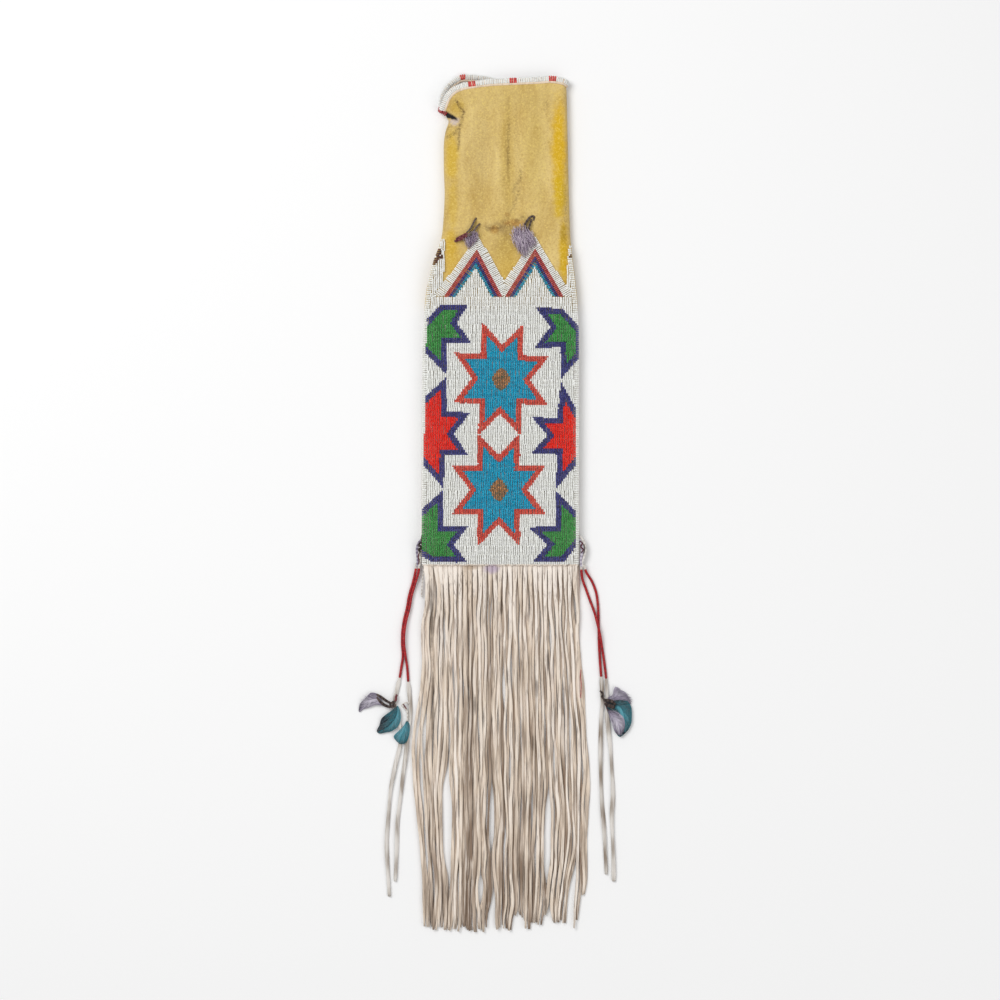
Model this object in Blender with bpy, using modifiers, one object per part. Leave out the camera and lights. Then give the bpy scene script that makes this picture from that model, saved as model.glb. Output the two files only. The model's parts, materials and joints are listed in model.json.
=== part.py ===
# Beaded hide pipe bag, lying on its back.
# Metres. +X across the bag, +Y from the fringe towards the mouth, +Z up out of the beaded front.
# The origin is on the flat back of the beadwork, at the middle of the lower panel.
import math

import bmesh
import bpy
from mathutils import Vector

MM = 0.001

# Driving sizes
PANEL_WIDTH = 0.168
PANEL_LOW = -0.1389
PANEL_TOP = 0.1102
NECK_WIDTH = 0.132
NECK_LEAN = 0.0065
NECK_START = 0.2060
NOTCH_Y = 0.3307
NOTCH_DEPTH = 0.0050
BACK_TOP = 0.1700

HIDE_WALL = 0.0013
POUCH_GAP = 0.0086
SEAT = 0.0003
BEAD_HEIGHT = 0.0021
SIDE_SHOULDER = 0.012
SIDE_DROP = 0.0025
FOOT_SHOULDER = 0.024
FOOT_DROP = 0.0035
BEAD_INSET = 0.0008
BACK_INSET = 0.0028
INLAY_GAP = 0.0003

RIM_WIDTH = 0.0064
RIM_HEIGHT = 0.0043
RIM_GAP = 0.0058
RIM_BLOCK = 0.0085
RIM_SEAT = 0.0006

OUTLINE_BAND = 0.0058
SIDE_BAND = 0.0022
STAR_BAND = 0.0056
STAR_TIP = (0.0225, 0.0602)
STAR_TIP_CUT = 0.0022
STAR_SIDE = (0.0499, 0.0260)
STAR_NOTCH = (0.0220, 0.0260)
STAR_NOTCH_UP = 0.0365
STAR_NOTCH_SIDE = 0.0305
STAR_CENTRES = {"upper": (0.0008, 0.0577), "lower": (-0.0015, -0.0592)}
STAR_TURN = {"upper": 0.031, "lower": 0.0}
STAR_TURN_REACH = 0.080
HEART = (0.0102, 0.0130)

FRINGE_WIDTH = 0.1645
FRINGE_THONGS = 31
THONG_SHARE = 0.66
THONG_THICK = 0.0015
FRINGE_HEADER = 0.0070
FRINGE_LENGTH = 0.3890
FRINGE_UNEVEN = 0.0110
FRINGE_SPREAD = 0.0105
FRINGE_STRAY = 0.0125
STRAY_AT = 0.51

WRAP_DIAMETER = 0.0030
TAIL_DIAMETER = 0.0034
FEATHER_THICK = 0.0016
TAIL_HEIGHT = 0.0018

# Heights that follow from the sizes above
BACK_LOW = BEAD_HEIGHT + SEAT
FRONT_HIGH = BACK_LOW + 2 * HIDE_WALL + POUCH_GAP
BEAD_TOP = FRONT_HIGH + SEAT + BEAD_HEIGHT
HALF = PANEL_WIDTH / 2

HIDE_OCHRE = (0.66, 0.43, 0.10)
BEAD_WHITE = (0.66, 0.67, 0.63)
BEAD_RED = (0.55, 0.05, 0.03)
BEAD_SCARLET = (0.66, 0.035, 0.015)
BEAD_BLUE = (0.012, 0.25, 0.40)
BEAD_NAVY = (0.03, 0.035, 0.17)
BEAD_GREEN = (0.045, 0.22, 0.05)
BEAD_TEAL = (0.02, 0.22, 0.36)
BEAD_BROWN = (0.20, 0.11, 0.06)
HIDE_BUFF = (0.62, 0.52, 0.40)
QUILL_RED = (0.42, 0.02, 0.02)
HIDE_DARK = (0.10, 0.08, 0.06)
DOWN_PURPLE = (0.18, 0.12, 0.28)
PLUME_PURPLE = (0.25, 0.22, 0.33)
PLUME_TEAL = (0.03, 0.17, 0.20)


def clear_scene():
    for item in list(bpy.data.objects):
        bpy.data.objects.remove(item, do_unlink=True)


def make_collection(name):
    group = bpy.data.collections.new(name)
    bpy.context.scene.collection.children.link(group)
    return group


clear_scene()
BAG = make_collection("pipe_bag")


def make_material(name, colour, roughness):
    material = bpy.data.materials.new(name)
    material.use_nodes = True
    shader = material.node_tree.nodes["Principled BSDF"]
    shader.inputs["Base Color"].default_value = (*colour, 1.0)
    shader.inputs["Roughness"].default_value = roughness
    return material


def finish_piece(name, bm, colour, roughness=0.4):
    """Turn a bmesh into a named object with its own material."""
    bmesh.ops.recalc_face_normals(bm, faces=bm.faces)
    mesh = bpy.data.meshes.new(name)
    bm.to_mesh(mesh)
    bm.free()
    piece = bpy.data.objects.new(name, mesh)
    BAG.objects.link(piece)
    mesh.materials.append(make_material(name, colour, roughness))
    return piece


def ramp(value, knots):
    """Straight-line reading of a list of (position, value) knots."""
    if value <= knots[0][0]:
        return knots[0][1]
    for (a, fa), (b, fb) in zip(knots, knots[1:]):
        if value <= b:
            return fa + (fb - fa) * (value - a) / (b - a)
    return knots[-1][1]


# Outline of the bag seen from above: height along the bag, left edge, right edge
def side_edges():
    neck_left = NECK_LEAN - NECK_WIDTH / 2
    neck_right = NECK_LEAN + NECK_WIDTH / 2
    flare = NECK_START - PANEL_TOP
    left = [
        (PANEL_LOW, -HALF),
        (PANEL_TOP, -HALF + 0.0008),
        (PANEL_TOP + 0.33 * flare, -HALF + 0.0043),
        (PANEL_TOP + 0.55 * flare, -HALF + 0.0067),
        (PANEL_TOP + 0.77 * flare, neck_left - 0.0112),
        (PANEL_TOP + 0.89 * flare, neck_left - 0.0070),
        (NECK_START, neck_left - 0.0030),
        (NECK_START + 0.0160, neck_left - 0.0012),
        (NECK_START + 0.0480, neck_left + 0.0005),
        (NECK_START + 0.0740, neck_left - 0.0007),
        (NOTCH_Y - 0.0190, neck_left - 0.0007),
        (NOTCH_Y - 0.0085, neck_left + 0.0014),
        (NOTCH_Y, neck_left + NOTCH_DEPTH),
    ]
    right = [
        (PANEL_LOW, HALF),
        (PANEL_TOP, HALF),
        (PANEL_TOP + 0.33 * flare, HALF - 0.0020),
        (PANEL_TOP + 0.55 * flare, HALF - 0.0043),
        (PANEL_TOP + 0.77 * flare, neck_right + 0.0045),
        (NECK_START, neck_right + 0.0020),
        (NECK_START + 0.0480, neck_right + 0.0005),
        (NOTCH_Y, neck_right - 0.0012),
    ]
    return left, right


LEFT_EDGE, RIGHT_EDGE = side_edges()


def bead_front_drop(x, y):
    """How far the front sinks below its flat middle, near the side folds and the lower edge."""
    side = max(0.0, abs(x) - (HALF - SIDE_SHOULDER)) / SIDE_SHOULDER
    foot = max(0.0, PANEL_LOW + FOOT_SHOULDER - y) / FOOT_SHOULDER
    return SIDE_DROP * side + FOOT_DROP * foot


def neck_fold(x, y):
    """Soft long folds and creases of the empty neck, cut into the front wall only."""
    rise = ramp(y, [(NECK_START + 0.012, 0.0), (NECK_START + 0.050, 1.0)])
    long_folds = 0.0007 * (1 - math.cos((x + 0.003 * math.sin(y / 0.03)) / 0.0053))
    corner = Vector((x + 0.047, y - 0.335)).length
    hollow = 0.0016 * math.exp(-((corner / 0.014) ** 2))
    return rise * (long_folds + hollow)


def front_height(x, y):
    return FRONT_HIGH - bead_front_drop(x, y) - neck_fold(x, y)


def back_height(y):
    """Underside of the hide: over the back beadwork on the panel, down on the floor in the neck."""
    return ramp(y, [(BACK_TOP + 0.006, BACK_LOW), (BACK_TOP + 0.052, 0.0)])


# Hide body
RING_STEPS = 12


def hide_ring(y):
    """One closed section of the bag: front from right to left, back from left to right."""
    left = ramp(y, LEFT_EDGE)
    right = ramp(y, RIGHT_EDGE)
    shoulder_left = max(left + 0.006, -(HALF - SIDE_SHOULDER))
    shoulder_right = min(right - 0.006, HALF - SIDE_SHOULDER)
    ring = []
    for step in range(RING_STEPS + 1):
        x = shoulder_right + (shoulder_left - shoulder_right) * step / RING_STEPS
        ring.append(Vector((x, y, front_height(x, y))))
    ring += side_fold(left, y, 1.0)
    for step in range(RING_STEPS + 1):
        x = shoulder_left + (shoulder_right - shoulder_left) * step / RING_STEPS
        ring.append(Vector((x, y, back_height(y))))
    ring += reversed(side_fold(right, y, -1.0))
    return ring


def side_fold(edge, y, inward):
    """Round side of the hide, from the front shoulder down to the back one."""
    top = front_height(edge, y)
    low = back_height(y)
    reach = 0.0030
    rise = top - low
    return [
        Vector((edge + inward * reach * 0.55, y, top - rise * 0.10)),
        Vector((edge, y, low + rise * 0.58)),
        Vector((edge + inward * reach * 0.10, y, low + rise * 0.28)),
        Vector((edge + inward * reach * 0.75, y, low + rise * 0.03)),
    ]


RIM_LOW = RIM_HEIGHT / 2 + 0.0002
RIM_HIGH = RIM_LOW + RIM_HEIGHT + RIM_GAP


def smooth_path(points, count):
    """Evenly spaced points on a smooth curve through the given ones."""
    dense = []
    last = len(points) - 1
    for index in range(last):
        before = points[max(index - 1, 0)]
        start = points[index]
        end = points[index + 1]
        after = points[min(index + 2, last)]
        for step in range(12):
            t = step / 12
            dense.append(0.5 * (2 * start + (end - before) * t
                                + (2 * before - 5 * start + 4 * end - after) * t * t
                                + (3 * start - before - 3 * end + after) * t * t * t))
    dense.append(points[-1].copy())
    return resample(dense, count)


def resample(points, count):
    lengths = [0.0]
    for a, b in zip(points, points[1:]):
        lengths.append(lengths[-1] + (b - a).length)
    result = []
    index = 0
    for step in range(count):
        want = lengths[-1] * step / (count - 1)
        while index < len(points) - 2 and lengths[index + 1] < want:
            index += 1
        span = lengths[index + 1] - lengths[index]
        share = (want - lengths[index]) / span if span else 0.0
        result.append(points[index].lerp(points[index + 1], min(max(share, 0.0), 1.0)))
    return result


# Middle line of the bead roll around the mouth: along the front from right to left, down the left
# corner, back along the back edge, and up the right corner. The values are the place across as a
# share of the neck's half width, the millimetres above the notch, and the height from 0 on the
# back edge to 1 on the front edge.
RIM_LINE = [(0.892, 43.5, 1), (0.732, 45.2, 1), (0.539, 44.5, 1), (0.379, 43.9, 1), (0.247, 43.5, 1),
            (0.115, 43.1, 1), (-0.071, 42.6, 1), (-0.205, 42.1, 1), (-0.329, 41.4, 1),
            (-0.553, 39.5, 1), (-0.682, 37.9, 1), (-0.811, 34.9, 1), (-0.908, 30.1, 1),
            (-0.971, 23.9, 1), (-1.014, 17.3, 0.96), (-1.041, 12.5, 0.76), (-1.050, 10.9, 0.5),
            (-1.050, 12.3, 0.24), (-1.038, 16.9, 0.04), (-1.002, 25.7, 0), (-0.932, 35.3, 0),
            (-0.826, 42.8, 0), (-0.705, 47.2, 0), (-0.570, 48.0, 0), (-0.368, 46.7, 0),
            (-0.200, 44.3, 0), (-0.023, 42.5, 0), (0.159, 42.3, 0), (0.362, 42.7, 0),
            (0.539, 44.4, 0), (0.715, 45.7, 0), (0.862, 44.7, 0.04), (0.950, 42.3, 0.22),
            (0.977, 41.1, 0.5), (0.956, 41.7, 0.8)]
RIM_FRONT_COUNT = 15
RIM_BLOCKS = [0.0106, 0.0516, 0.0956, 0.1470, 0.1932]
RIM_STEPS = 8


def rim_points():
    return [Vector((NECK_LEAN + across * NECK_WIDTH / 2, NOTCH_Y + above * MM,
                    RIM_LOW + height * (RIM_HIGH - RIM_LOW))) for across, above, height in RIM_LINE]


def rim_frames():
    """Points of the closed rim line with the direction out of the mouth and out of the wall."""
    points = rim_points()
    count = len(points)
    dense = []
    for index in range(count):
        before, start, end, after = (points[(index + k) % count] for k in (-1, 0, 1, 2))
        for step in range(RIM_STEPS):
            t = step / RIM_STEPS
            dense.append(0.5 * (2 * start + (end - before) * t
                                + (2 * before - 5 * start + 4 * end - after) * t * t
                                + (3 * start - before - 3 * end + after) * t * t * t))
    frames = []
    side = Vector((0, 1, 0))
    total = len(dense)
    for index, point in enumerate(dense):
        tangent = (dense[(index + 1) % total] - dense[index - 1]).normalized()
        side = (side - tangent * side.dot(tangent)).normalized()
        frames.append((point, side.copy(), side.cross(tangent).normalized()))
    return frames


RIM_FRAMES = rim_frames()


def rim_at(place):
    """Frame at a place counted in points of RIM_LINE."""
    position = place * RIM_STEPS
    index = int(position) % len(RIM_FRAMES)
    share = position - int(position)
    a = RIM_FRAMES[index]
    b = RIM_FRAMES[(index + 1) % len(RIM_FRAMES)]
    return tuple(u.lerp(v, share) for u, v in zip(a, b))


def mouth_places():
    """Where each point of a hide ring meets the rim."""
    front = [(RIM_FRONT_COUNT - 2) * step / RING_STEPS for step in range(RING_STEPS + 1)]
    left = [13.6, 14.5, 15.7, 16.7]
    back = [17.8 + (30.6 - 17.8) * step / RING_STEPS for step in range(RING_STEPS + 1)]
    right = [31.6, 32.5, 33.4, 34.3]
    return front + left + back + right


def mouth_ring():
    ring = []
    for place in mouth_places():
        point, out, up = rim_at(place)
        ring.append(point - out * (RIM_WIDTH / 2 + RIM_SEAT) + up * HIDE_WALL / 2)
    return ring


def hide_rings():
    flare = NECK_START - PANEL_TOP
    heights = [PANEL_LOW, PANEL_LOW + FOOT_SHOULDER, PANEL_TOP]
    heights += [PANEL_TOP + share * flare for share in (0.33, 0.55, 0.77, 0.89, 1.0)]
    heights += [NECK_START + 0.016]
    steps = 9
    throat_low = NECK_START + 0.030
    heights += [throat_low + (NOTCH_Y - throat_low) * step / steps for step in range(steps)]
    heights += [NOTCH_Y - 0.0065, NOTCH_Y]
    rings = [hide_ring(y) for y in heights]
    mouth = mouth_ring()
    throat = rings[-1]
    for share in (0.30, 0.65):
        rings.append([a.lerp(b, share) for a, b in zip(throat, mouth)])
    rings.append(mouth)
    return rings


def build_hide():
    bm = bmesh.new()
    loops = [[bm.verts.new(point) for point in ring] for ring in hide_rings()]
    count = len(loops[0])
    for lower, upper in zip(loops, loops[1:]):
        for i in range(count):
            j = (i + 1) % count
            bm.faces.new((lower[i], lower[j], upper[j], upper[i]))
    bm.faces.new(loops[0])
    hide = finish_piece("hide_body", bm, HIDE_OCHRE, 0.85)
    wall = hide.modifiers.new("hide wall", "SOLIDIFY")
    wall.thickness = HIDE_WALL
    wall.offset = -1.0
    return hide


def swept_piece(name, frames, colour, roughness=0.4, sides=10):
    """Oval bead roll along a run of rim frames."""
    bm = bmesh.new()
    loops = []
    for point, out, up in frames:
        loop = []
        for k in range(sides):
            angle = 2 * math.pi * k / sides
            loop.append(bm.verts.new(point + out * math.cos(angle) * RIM_WIDTH / 2
                                     + up * math.sin(angle) * RIM_HEIGHT / 2))
        loops.append(loop)
    for a, b in zip(loops, loops[1:]):
        for k in range(sides):
            bm.faces.new((a[k], a[(k + 1) % sides], b[(k + 1) % sides], b[k]))
    bm.faces.new(loops[0])
    bm.faces.new(loops[-1])
    return finish_piece(name, bm, colour, roughness)


def rim_lengths():
    lengths = [0.0]
    total = len(RIM_FRAMES)
    for index in range(total):
        a = RIM_FRAMES[index][0]
        b = RIM_FRAMES[(index + 1) % total][0]
        lengths.append(lengths[-1] + (b - a).length)
    return lengths


def rim_at_length(lengths, want):
    total = len(RIM_FRAMES)
    want = want % lengths[-1]
    index = max(i for i in range(total) if lengths[i] <= want)
    share = (want - lengths[index]) / (lengths[index + 1] - lengths[index])
    a = RIM_FRAMES[index]
    b = RIM_FRAMES[(index + 1) % total]
    return tuple(u.lerp(v, share) for u, v in zip(a, b))


def rim_run(lengths, start, end):
    steps = max(2, round((end - start) / 0.0065))
    return [rim_at_length(lengths, start + (end - start) * step / steps) for step in range(steps + 1)]


def build_rim():
    lengths = rim_lengths()
    ring = lengths[-1]
    half = RIM_BLOCK / 2
    for index, centre in enumerate(RIM_BLOCKS):
        block = rim_run(lengths, centre - half, centre + half)
        swept_piece(f"rim_red_{index + 1}", block, BEAD_SCARLET)
        following = RIM_BLOCKS[index + 1] if index + 1 < len(RIM_BLOCKS) else RIM_BLOCKS[0] + ring
        plain = rim_run(lengths, centre + half + INLAY_GAP, following - half - INLAY_GAP)
        swept_piece(f"rim_white_{index + 1}", plain, BEAD_WHITE)


# Flat outlines
def metres(points):
    return [Vector((x * MM, y * MM)) for x, y in points]


def signed_area(points):
    return 0.5 * sum(a.x * b.y - b.x * a.y for a, b in zip(points, points[1:] + points[:1]))


def offset_outline(points, distance, kept=None):
    """Outline moved outwards by distance; the sides numbered in kept move by the value given there."""
    kept = kept or {}
    turn = 1.0 if signed_area(points) > 0 else -1.0
    count = len(points)
    moved = []
    for i in range(count):
        a, b, c = points[i - 1], points[i], points[(i + 1) % count]
        d1 = (b - a).normalized()
        d2 = (c - b).normalized()
        n1 = Vector((d1.y, -d1.x)) * turn
        n2 = Vector((d2.y, -d2.x)) * turn
        s1 = kept.get((i - 1) % count, distance)
        s2 = kept.get(i, distance)
        p = a + n1 * s1
        q = c + n2 * s2
        cross = d1.x * d2.y - d1.y * d2.x
        if abs(cross) < 0.02:
            moved.append(b + n1 * s1)
            continue
        t = ((q.x - p.x) * d2.y - (q.y - p.y) * d2.x) / cross
        moved.append(p + d1 * t)
    return moved


def flat_solid(name, outlines, thickness):
    """Closed mesh from flat outlines (the first is the outside, others are holes)."""
    curve = bpy.data.curves.new(name, "CURVE")
    curve.dimensions = "2D"
    curve.fill_mode = "BOTH"
    curve.extrude = thickness / 2
    for outline in outlines:
        spline = curve.splines.new("POLY")
        spline.points.add(len(outline) - 1)
        for point, place in zip(spline.points, outline):
            point.co = (place.x, place.y, 0.0, 1.0)
        spline.use_cyclic_u = True
    guide = bpy.data.objects.new(name, curve)
    BAG.objects.link(guide)
    bpy.context.view_layer.update()
    evaluated = guide.evaluated_get(bpy.context.evaluated_depsgraph_get())
    mesh = bpy.data.meshes.new_from_object(evaluated)
    bm = bmesh.new()
    bm.from_mesh(mesh)
    bpy.data.objects.remove(guide, do_unlink=True)
    bpy.data.meshes.remove(mesh)
    bmesh.ops.remove_doubles(bm, verts=bm.verts, dist=0.00002)
    return bm


def cut_along(bm, place, direction):
    geometry = bm.verts[:] + bm.edges[:] + bm.faces[:]
    bmesh.ops.bisect_plane(bm, geom=geometry, plane_co=place, plane_no=direction, dist=1e-6)


def bead_field(name, outline, holes, colour):
    """A field of beads lying on the hide's front, thick as one bead."""
    bm = flat_solid(name, [outline] + holes, BEAD_HEIGHT)
    shoulder = HALF - SIDE_SHOULDER
    cut_along(bm, (shoulder, 0, 0), (1, 0, 0))
    cut_along(bm, (-shoulder, 0, 0), (1, 0, 0))
    cut_along(bm, (0, PANEL_LOW + FOOT_SHOULDER, 0), (0, 1, 0))
    for vert in bm.verts:
        seat = FRONT_HIGH - bead_front_drop(vert.co.x, vert.co.y) + SEAT
        vert.co.z = seat + (BEAD_HEIGHT if vert.co.z > 0 else 0.0)
    return finish_piece(name, bm, colour)


def ring_field(name, outer, inner, colour):
    """A band of beads between two outlines."""
    bead_field(name, offset_outline(outer, -INLAY_GAP / 2),
               [offset_outline(inner, INLAY_GAP / 2)], colour)


# Beadwork pattern
def star_outline(centre, turn, cut):
    """Eight-pointed star turned to the right, most at its top; cut is taken off its four long tips."""
    tip_x, tip_y = STAR_TIP
    outer = tip_x - (tip_x - STAR_NOTCH[0]) * cut / (tip_y - STAR_NOTCH[1])
    inner = tip_x - tip_x * cut / (tip_y - STAR_NOTCH_UP)
    tip = [(outer, tip_y - cut), (inner, tip_y - cut)] if cut else [STAR_TIP]
    quarter = [STAR_SIDE, STAR_NOTCH] + tip + [(0.0, STAR_NOTCH_UP)]
    points = list(quarter)
    points += [(-x, y) for x, y in reversed(quarter[:-1])]
    points += [(-STAR_NOTCH_SIDE, 0.0)]
    points += [(-x, -y) for x, y in quarter]
    points += [(x, -y) for x, y in reversed(quarter[:-1])]
    points += [(STAR_NOTCH_SIDE, 0.0)]
    return [Vector((centre[0] + x + turn * y, centre[1] + y - turn * x * (1 + y / STAR_TURN_REACH)))
            for x, y in points]


def heart_outline(centre):
    wide, tall = HEART
    points = [(wide, 0), (wide * 0.55, tall * 0.6), (0, tall), (-wide * 0.55, tall * 0.6),
              (-wide, 0), (-wide * 0.55, -tall * 0.6), (0, -tall), (wide * 0.55, -tall * 0.6)]
    return [Vector((centre[0] + x, centre[1] + y)) for x, y in points]


# Half-star motifs in millimetres: x in from the panel's side, y from the panel's middle.
# The last two points of a motif lie along its side edge.
LEFT_MOTIFS = {
    "green_top": [(20.8, 136.4), (50.3, 136.6), (38.1, 117.3), (53.8, 95.8), (27.5, 96.2), (27.4, 62.6),
                  (5.4, 84.6), (7.0, 121.6)],
    "red_middle": [(27.0, 60.0), (27.2, 23.3), (52.1, 22.5), (34.6, -0.6), (50.3, -22.8), (26.2, -22.4),
                   (23.4, -57.6), (2.6, -32.6), (5.6, 40.0)],
    "green_bottom": [(23.8, -59.2), (23.4, -97.1), (50.6, -97.2), (34.9, -117.1), (49.0, -135.8),
                     (11.9, -135.8), (1.6, -129.8), (1.6, -79.5)],
}
RIGHT_MOTIFS = {
    "green_top": [(19.9, 57.8), (20.4, 91.5), (48.5, 90.0), (31.2, 112.7), (46.8, 133.9), (18.4, 132.0),
                  (1.6, 114.2), (1.6, 79.3)],
    "red_middle": [(24.7, -57.6), (24.3, -21.8), (52.0, -21.5), (34.2, -1.8), (50.5, 17.5), (23.4, 16.9),
                   (19.9, 55.6), (3.6, 25.6), (3.9, -32.6)],
    "green_bottom": [(16.3, -135.0), (49.8, -135.5), (34.2, -117.1), (54.2, -98.7), (25.3, -97.6),
                     (25.1, -60.6), (4.6, -81.6), (4.6, -120.0)],
}

# Peaks: left foot, top and right foot of the outermost coloured band. Places on the neck are a
# share of its half width from its middle line, and millimetres above where the neck starts.
PEAKS = {"left": [(-1.003, -61.0), (-0.473, -11.0), (-0.065, -61.0)],
         "right": [(-0.024, -61.0), (0.461, -10.0), (0.917, -61.0)]}
PEAK_BANDS = [("red", 0.0040, BEAD_RED), ("navy", 0.0029, BEAD_NAVY), ("teal", 0.0033, BEAD_TEAL)]
WHITE_PEAKS = [(-1.018, -49.1), (-0.452, 0.4), (-0.023, -46.5), (0.448, 0.7), (0.956, -52.4)]


def neck_places(points):
    half = NECK_WIDTH / 2
    return [Vector((NECK_LEAN + across * half, NECK_START + above * MM)) for across, above in points]


def left_motif(points):
    return [Vector((x * MM - HALF, y * MM)) for x, y in points]


def right_motif(points):
    return [Vector((HALF - x * MM, y * MM)) for x, y in points]


def peak_legs(triangle, inset):
    """Left foot, top and right foot of a peak drawn in by inset, still standing on the foot line."""
    foot_left, top, foot_right = triangle
    drawn = offset_outline([foot_left, foot_right, top], -inset, {0: 0.0})
    return drawn[0], drawn[2], drawn[1]


def peak_band(triangle, start, width):
    outer = peak_legs(triangle, start + INLAY_GAP / 2)
    inner = peak_legs(triangle, start + width - INLAY_GAP / 2)
    return [outer[0], outer[1], outer[2], inner[2], inner[1], inner[0]]


def peak_hole(triangle):
    total = sum(width for _, width, _ in PEAK_BANDS)
    outer = peak_legs(triangle, -INLAY_GAP / 2)
    inner = peak_legs(triangle, total + INLAY_GAP / 2)
    low = Vector((0.0, -INLAY_GAP))
    return [outer[0] + low, outer[1], outer[2] + low, inner[2] + low, inner[1], inner[0] + low]


def ground_outline():
    """Outside of the white ground: the panel, the strips up the neck's sides and the two white peaks."""
    left = [Vector((x + BEAD_INSET, y)) for y, x in LEFT_EDGE if PANEL_LOW < y <= NECK_START]
    right = [Vector((x - BEAD_INSET, y)) for y, x in RIGHT_EDGE if PANEL_LOW < y < NECK_START]
    low = PANEL_LOW + BEAD_INSET
    outline = [Vector((-HALF + BEAD_INSET, low))] + left
    outline += [Vector((NECK_LEAN - NECK_WIDTH / 2 + 0.0010, NECK_START))]
    outline += neck_places(WHITE_PEAKS)
    outline += [Vector((NECK_LEAN + NECK_WIDTH / 2 + 0.0005, NECK_START - 0.0070))]
    outline += [Vector((ramp(NECK_START - 0.0070, RIGHT_EDGE) - BEAD_INSET, NECK_START - 0.0070))]
    outline += list(reversed(right))
    outline += [Vector((HALF - BEAD_INSET, low))]
    return outline


def build_star(place, centre):
    """The star's three colour fields; returns the outline of its place in the ground."""
    star = star_outline(centre, STAR_TURN[place], STAR_TIP_CUT)
    field = offset_outline(star_outline(centre, STAR_TURN[place], 0.0), -STAR_BAND)
    heart = heart_outline(centre)
    ring_field(f"star_{place}_outline", star, field, BEAD_RED)
    bead_field(f"star_{place}_field", offset_outline(field, -INLAY_GAP / 2),
               [offset_outline(heart, INLAY_GAP / 2)], BEAD_BLUE)
    bead_field(f"star_{place}_heart", offset_outline(heart, -INLAY_GAP / 2), [], BEAD_BROWN)
    return offset_outline(star, INLAY_GAP / 2)


def build_motif(name, motif, side_band):
    """Half star with a navy outline, which is left open at the panel's side where side_band is zero."""
    colour = BEAD_SCARLET if "red" in name else BEAD_GREEN
    edge = len(motif) - 2
    fill = offset_outline(motif, -OUTLINE_BAND, {edge: -side_band})
    if side_band:
        ring_field(f"{name}_outline", motif, fill, BEAD_NAVY)
        bead_field(name, offset_outline(fill, -INLAY_GAP / 2), [], colour)
    else:
        outer = offset_outline(motif, -INLAY_GAP / 2, {edge: 0.0})
        inner = offset_outline(fill, INLAY_GAP / 2, {edge: 0.0})
        outer = outer[edge + 1:] + outer[:edge + 1]
        inner = inner[edge + 1:] + inner[:edge + 1]
        bead_field(f"{name}_outline", outer + inner[::-1], [], BEAD_NAVY)
        bead_field(name, offset_outline(fill, -INLAY_GAP / 2, {edge: 0.0}), [], colour)
    return offset_outline(motif, INLAY_GAP / 2)


def build_beadwork():
    holes = [build_star(place, centre) for place, centre in STAR_CENTRES.items()]
    for name, points in LEFT_MOTIFS.items():
        holes.append(build_motif(f"motif_left_{name}", left_motif(points), 0.0))
    for name, points in RIGHT_MOTIFS.items():
        side_band = SIDE_BAND if name == "green_top" else 0.0
        holes.append(build_motif(f"motif_right_{name}", right_motif(points), side_band))
    for side, points in PEAKS.items():
        triangle = neck_places(points)
        start = 0.0
        for band_name, width, colour in PEAK_BANDS:
            bead_field(f"peak_{side}_{band_name}", peak_band(triangle, start, width), [], colour)
            start += width
        holes.append(peak_hole(triangle))
    bead_field("beadwork_ground", ground_outline(), holes, BEAD_WHITE)


def build_back():
    """Plain white lanes on the back; its underside is the flat face that the bag lies on."""
    low = PANEL_LOW + BEAD_INSET
    heights = [low] + [y for y, _ in LEFT_EDGE if PANEL_LOW < y < BACK_TOP] + [BACK_TOP]
    outline = [Vector((ramp(y, LEFT_EDGE) + BACK_INSET, y)) for y in heights]
    outline += [Vector((ramp(y, RIGHT_EDGE) - BACK_INSET, y)) for y in reversed(heights)]
    bm = flat_solid("beadwork_back", [outline], BEAD_HEIGHT)
    bmesh.ops.translate(bm, verts=bm.verts, vec=(0, 0, BEAD_HEIGHT / 2))
    finish_piece("beadwork_back", bm, BEAD_WHITE)


# Fringe
# Places where the thongs part and the floor shows: x, y, half width, half height (millimetres)
FRINGE_PARTINGS = [(-56.5, -409.0, 3.4, 55.0), (-10.8, -403.0, 2.4, 34.0), (51.5, -427.0, 3.2, 42.0),
                   (-19.5, -487.0, 2.4, 26.0), (8.0, -520.0, 2.6, 30.0), (24.0, -520.0, 2.6, 30.0)]


def fringe_shift(x, y):
    """Sideways drift of a thong that starts at x, where it has come down to y."""
    fall = (PANEL_LOW - y) / FRINGE_LENGTH
    right = FRINGE_SPREAD * max(0.0, x / HALF) * math.sin(math.pi * min(1.0, fall) ** 1.6)
    bulge = (fall - STRAY_AT) / (0.14 if fall < STRAY_AT else 0.21)
    left = -FRINGE_STRAY * max(0.0, -x / HALF) ** 6 * math.exp(-(bulge ** 2))
    spread = right + left
    shift = spread
    for px, py, wide, tall in FRINGE_PARTINGS:
        away = (y - py * MM) / (tall * MM)
        window = math.exp(-(away ** 4))
        distance = x + spread - px * MM
        shift += math.copysign(wide * MM * window * math.exp(-abs(distance) / 0.016), distance)
    return shift


def thong_heights(y, rest, header):
    knots = [(FRINGE_HEADER, header), (0.040, rest + 0.35 * (header - rest)), (0.085, rest)]
    return ramp(PANEL_LOW - y, knots)


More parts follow.
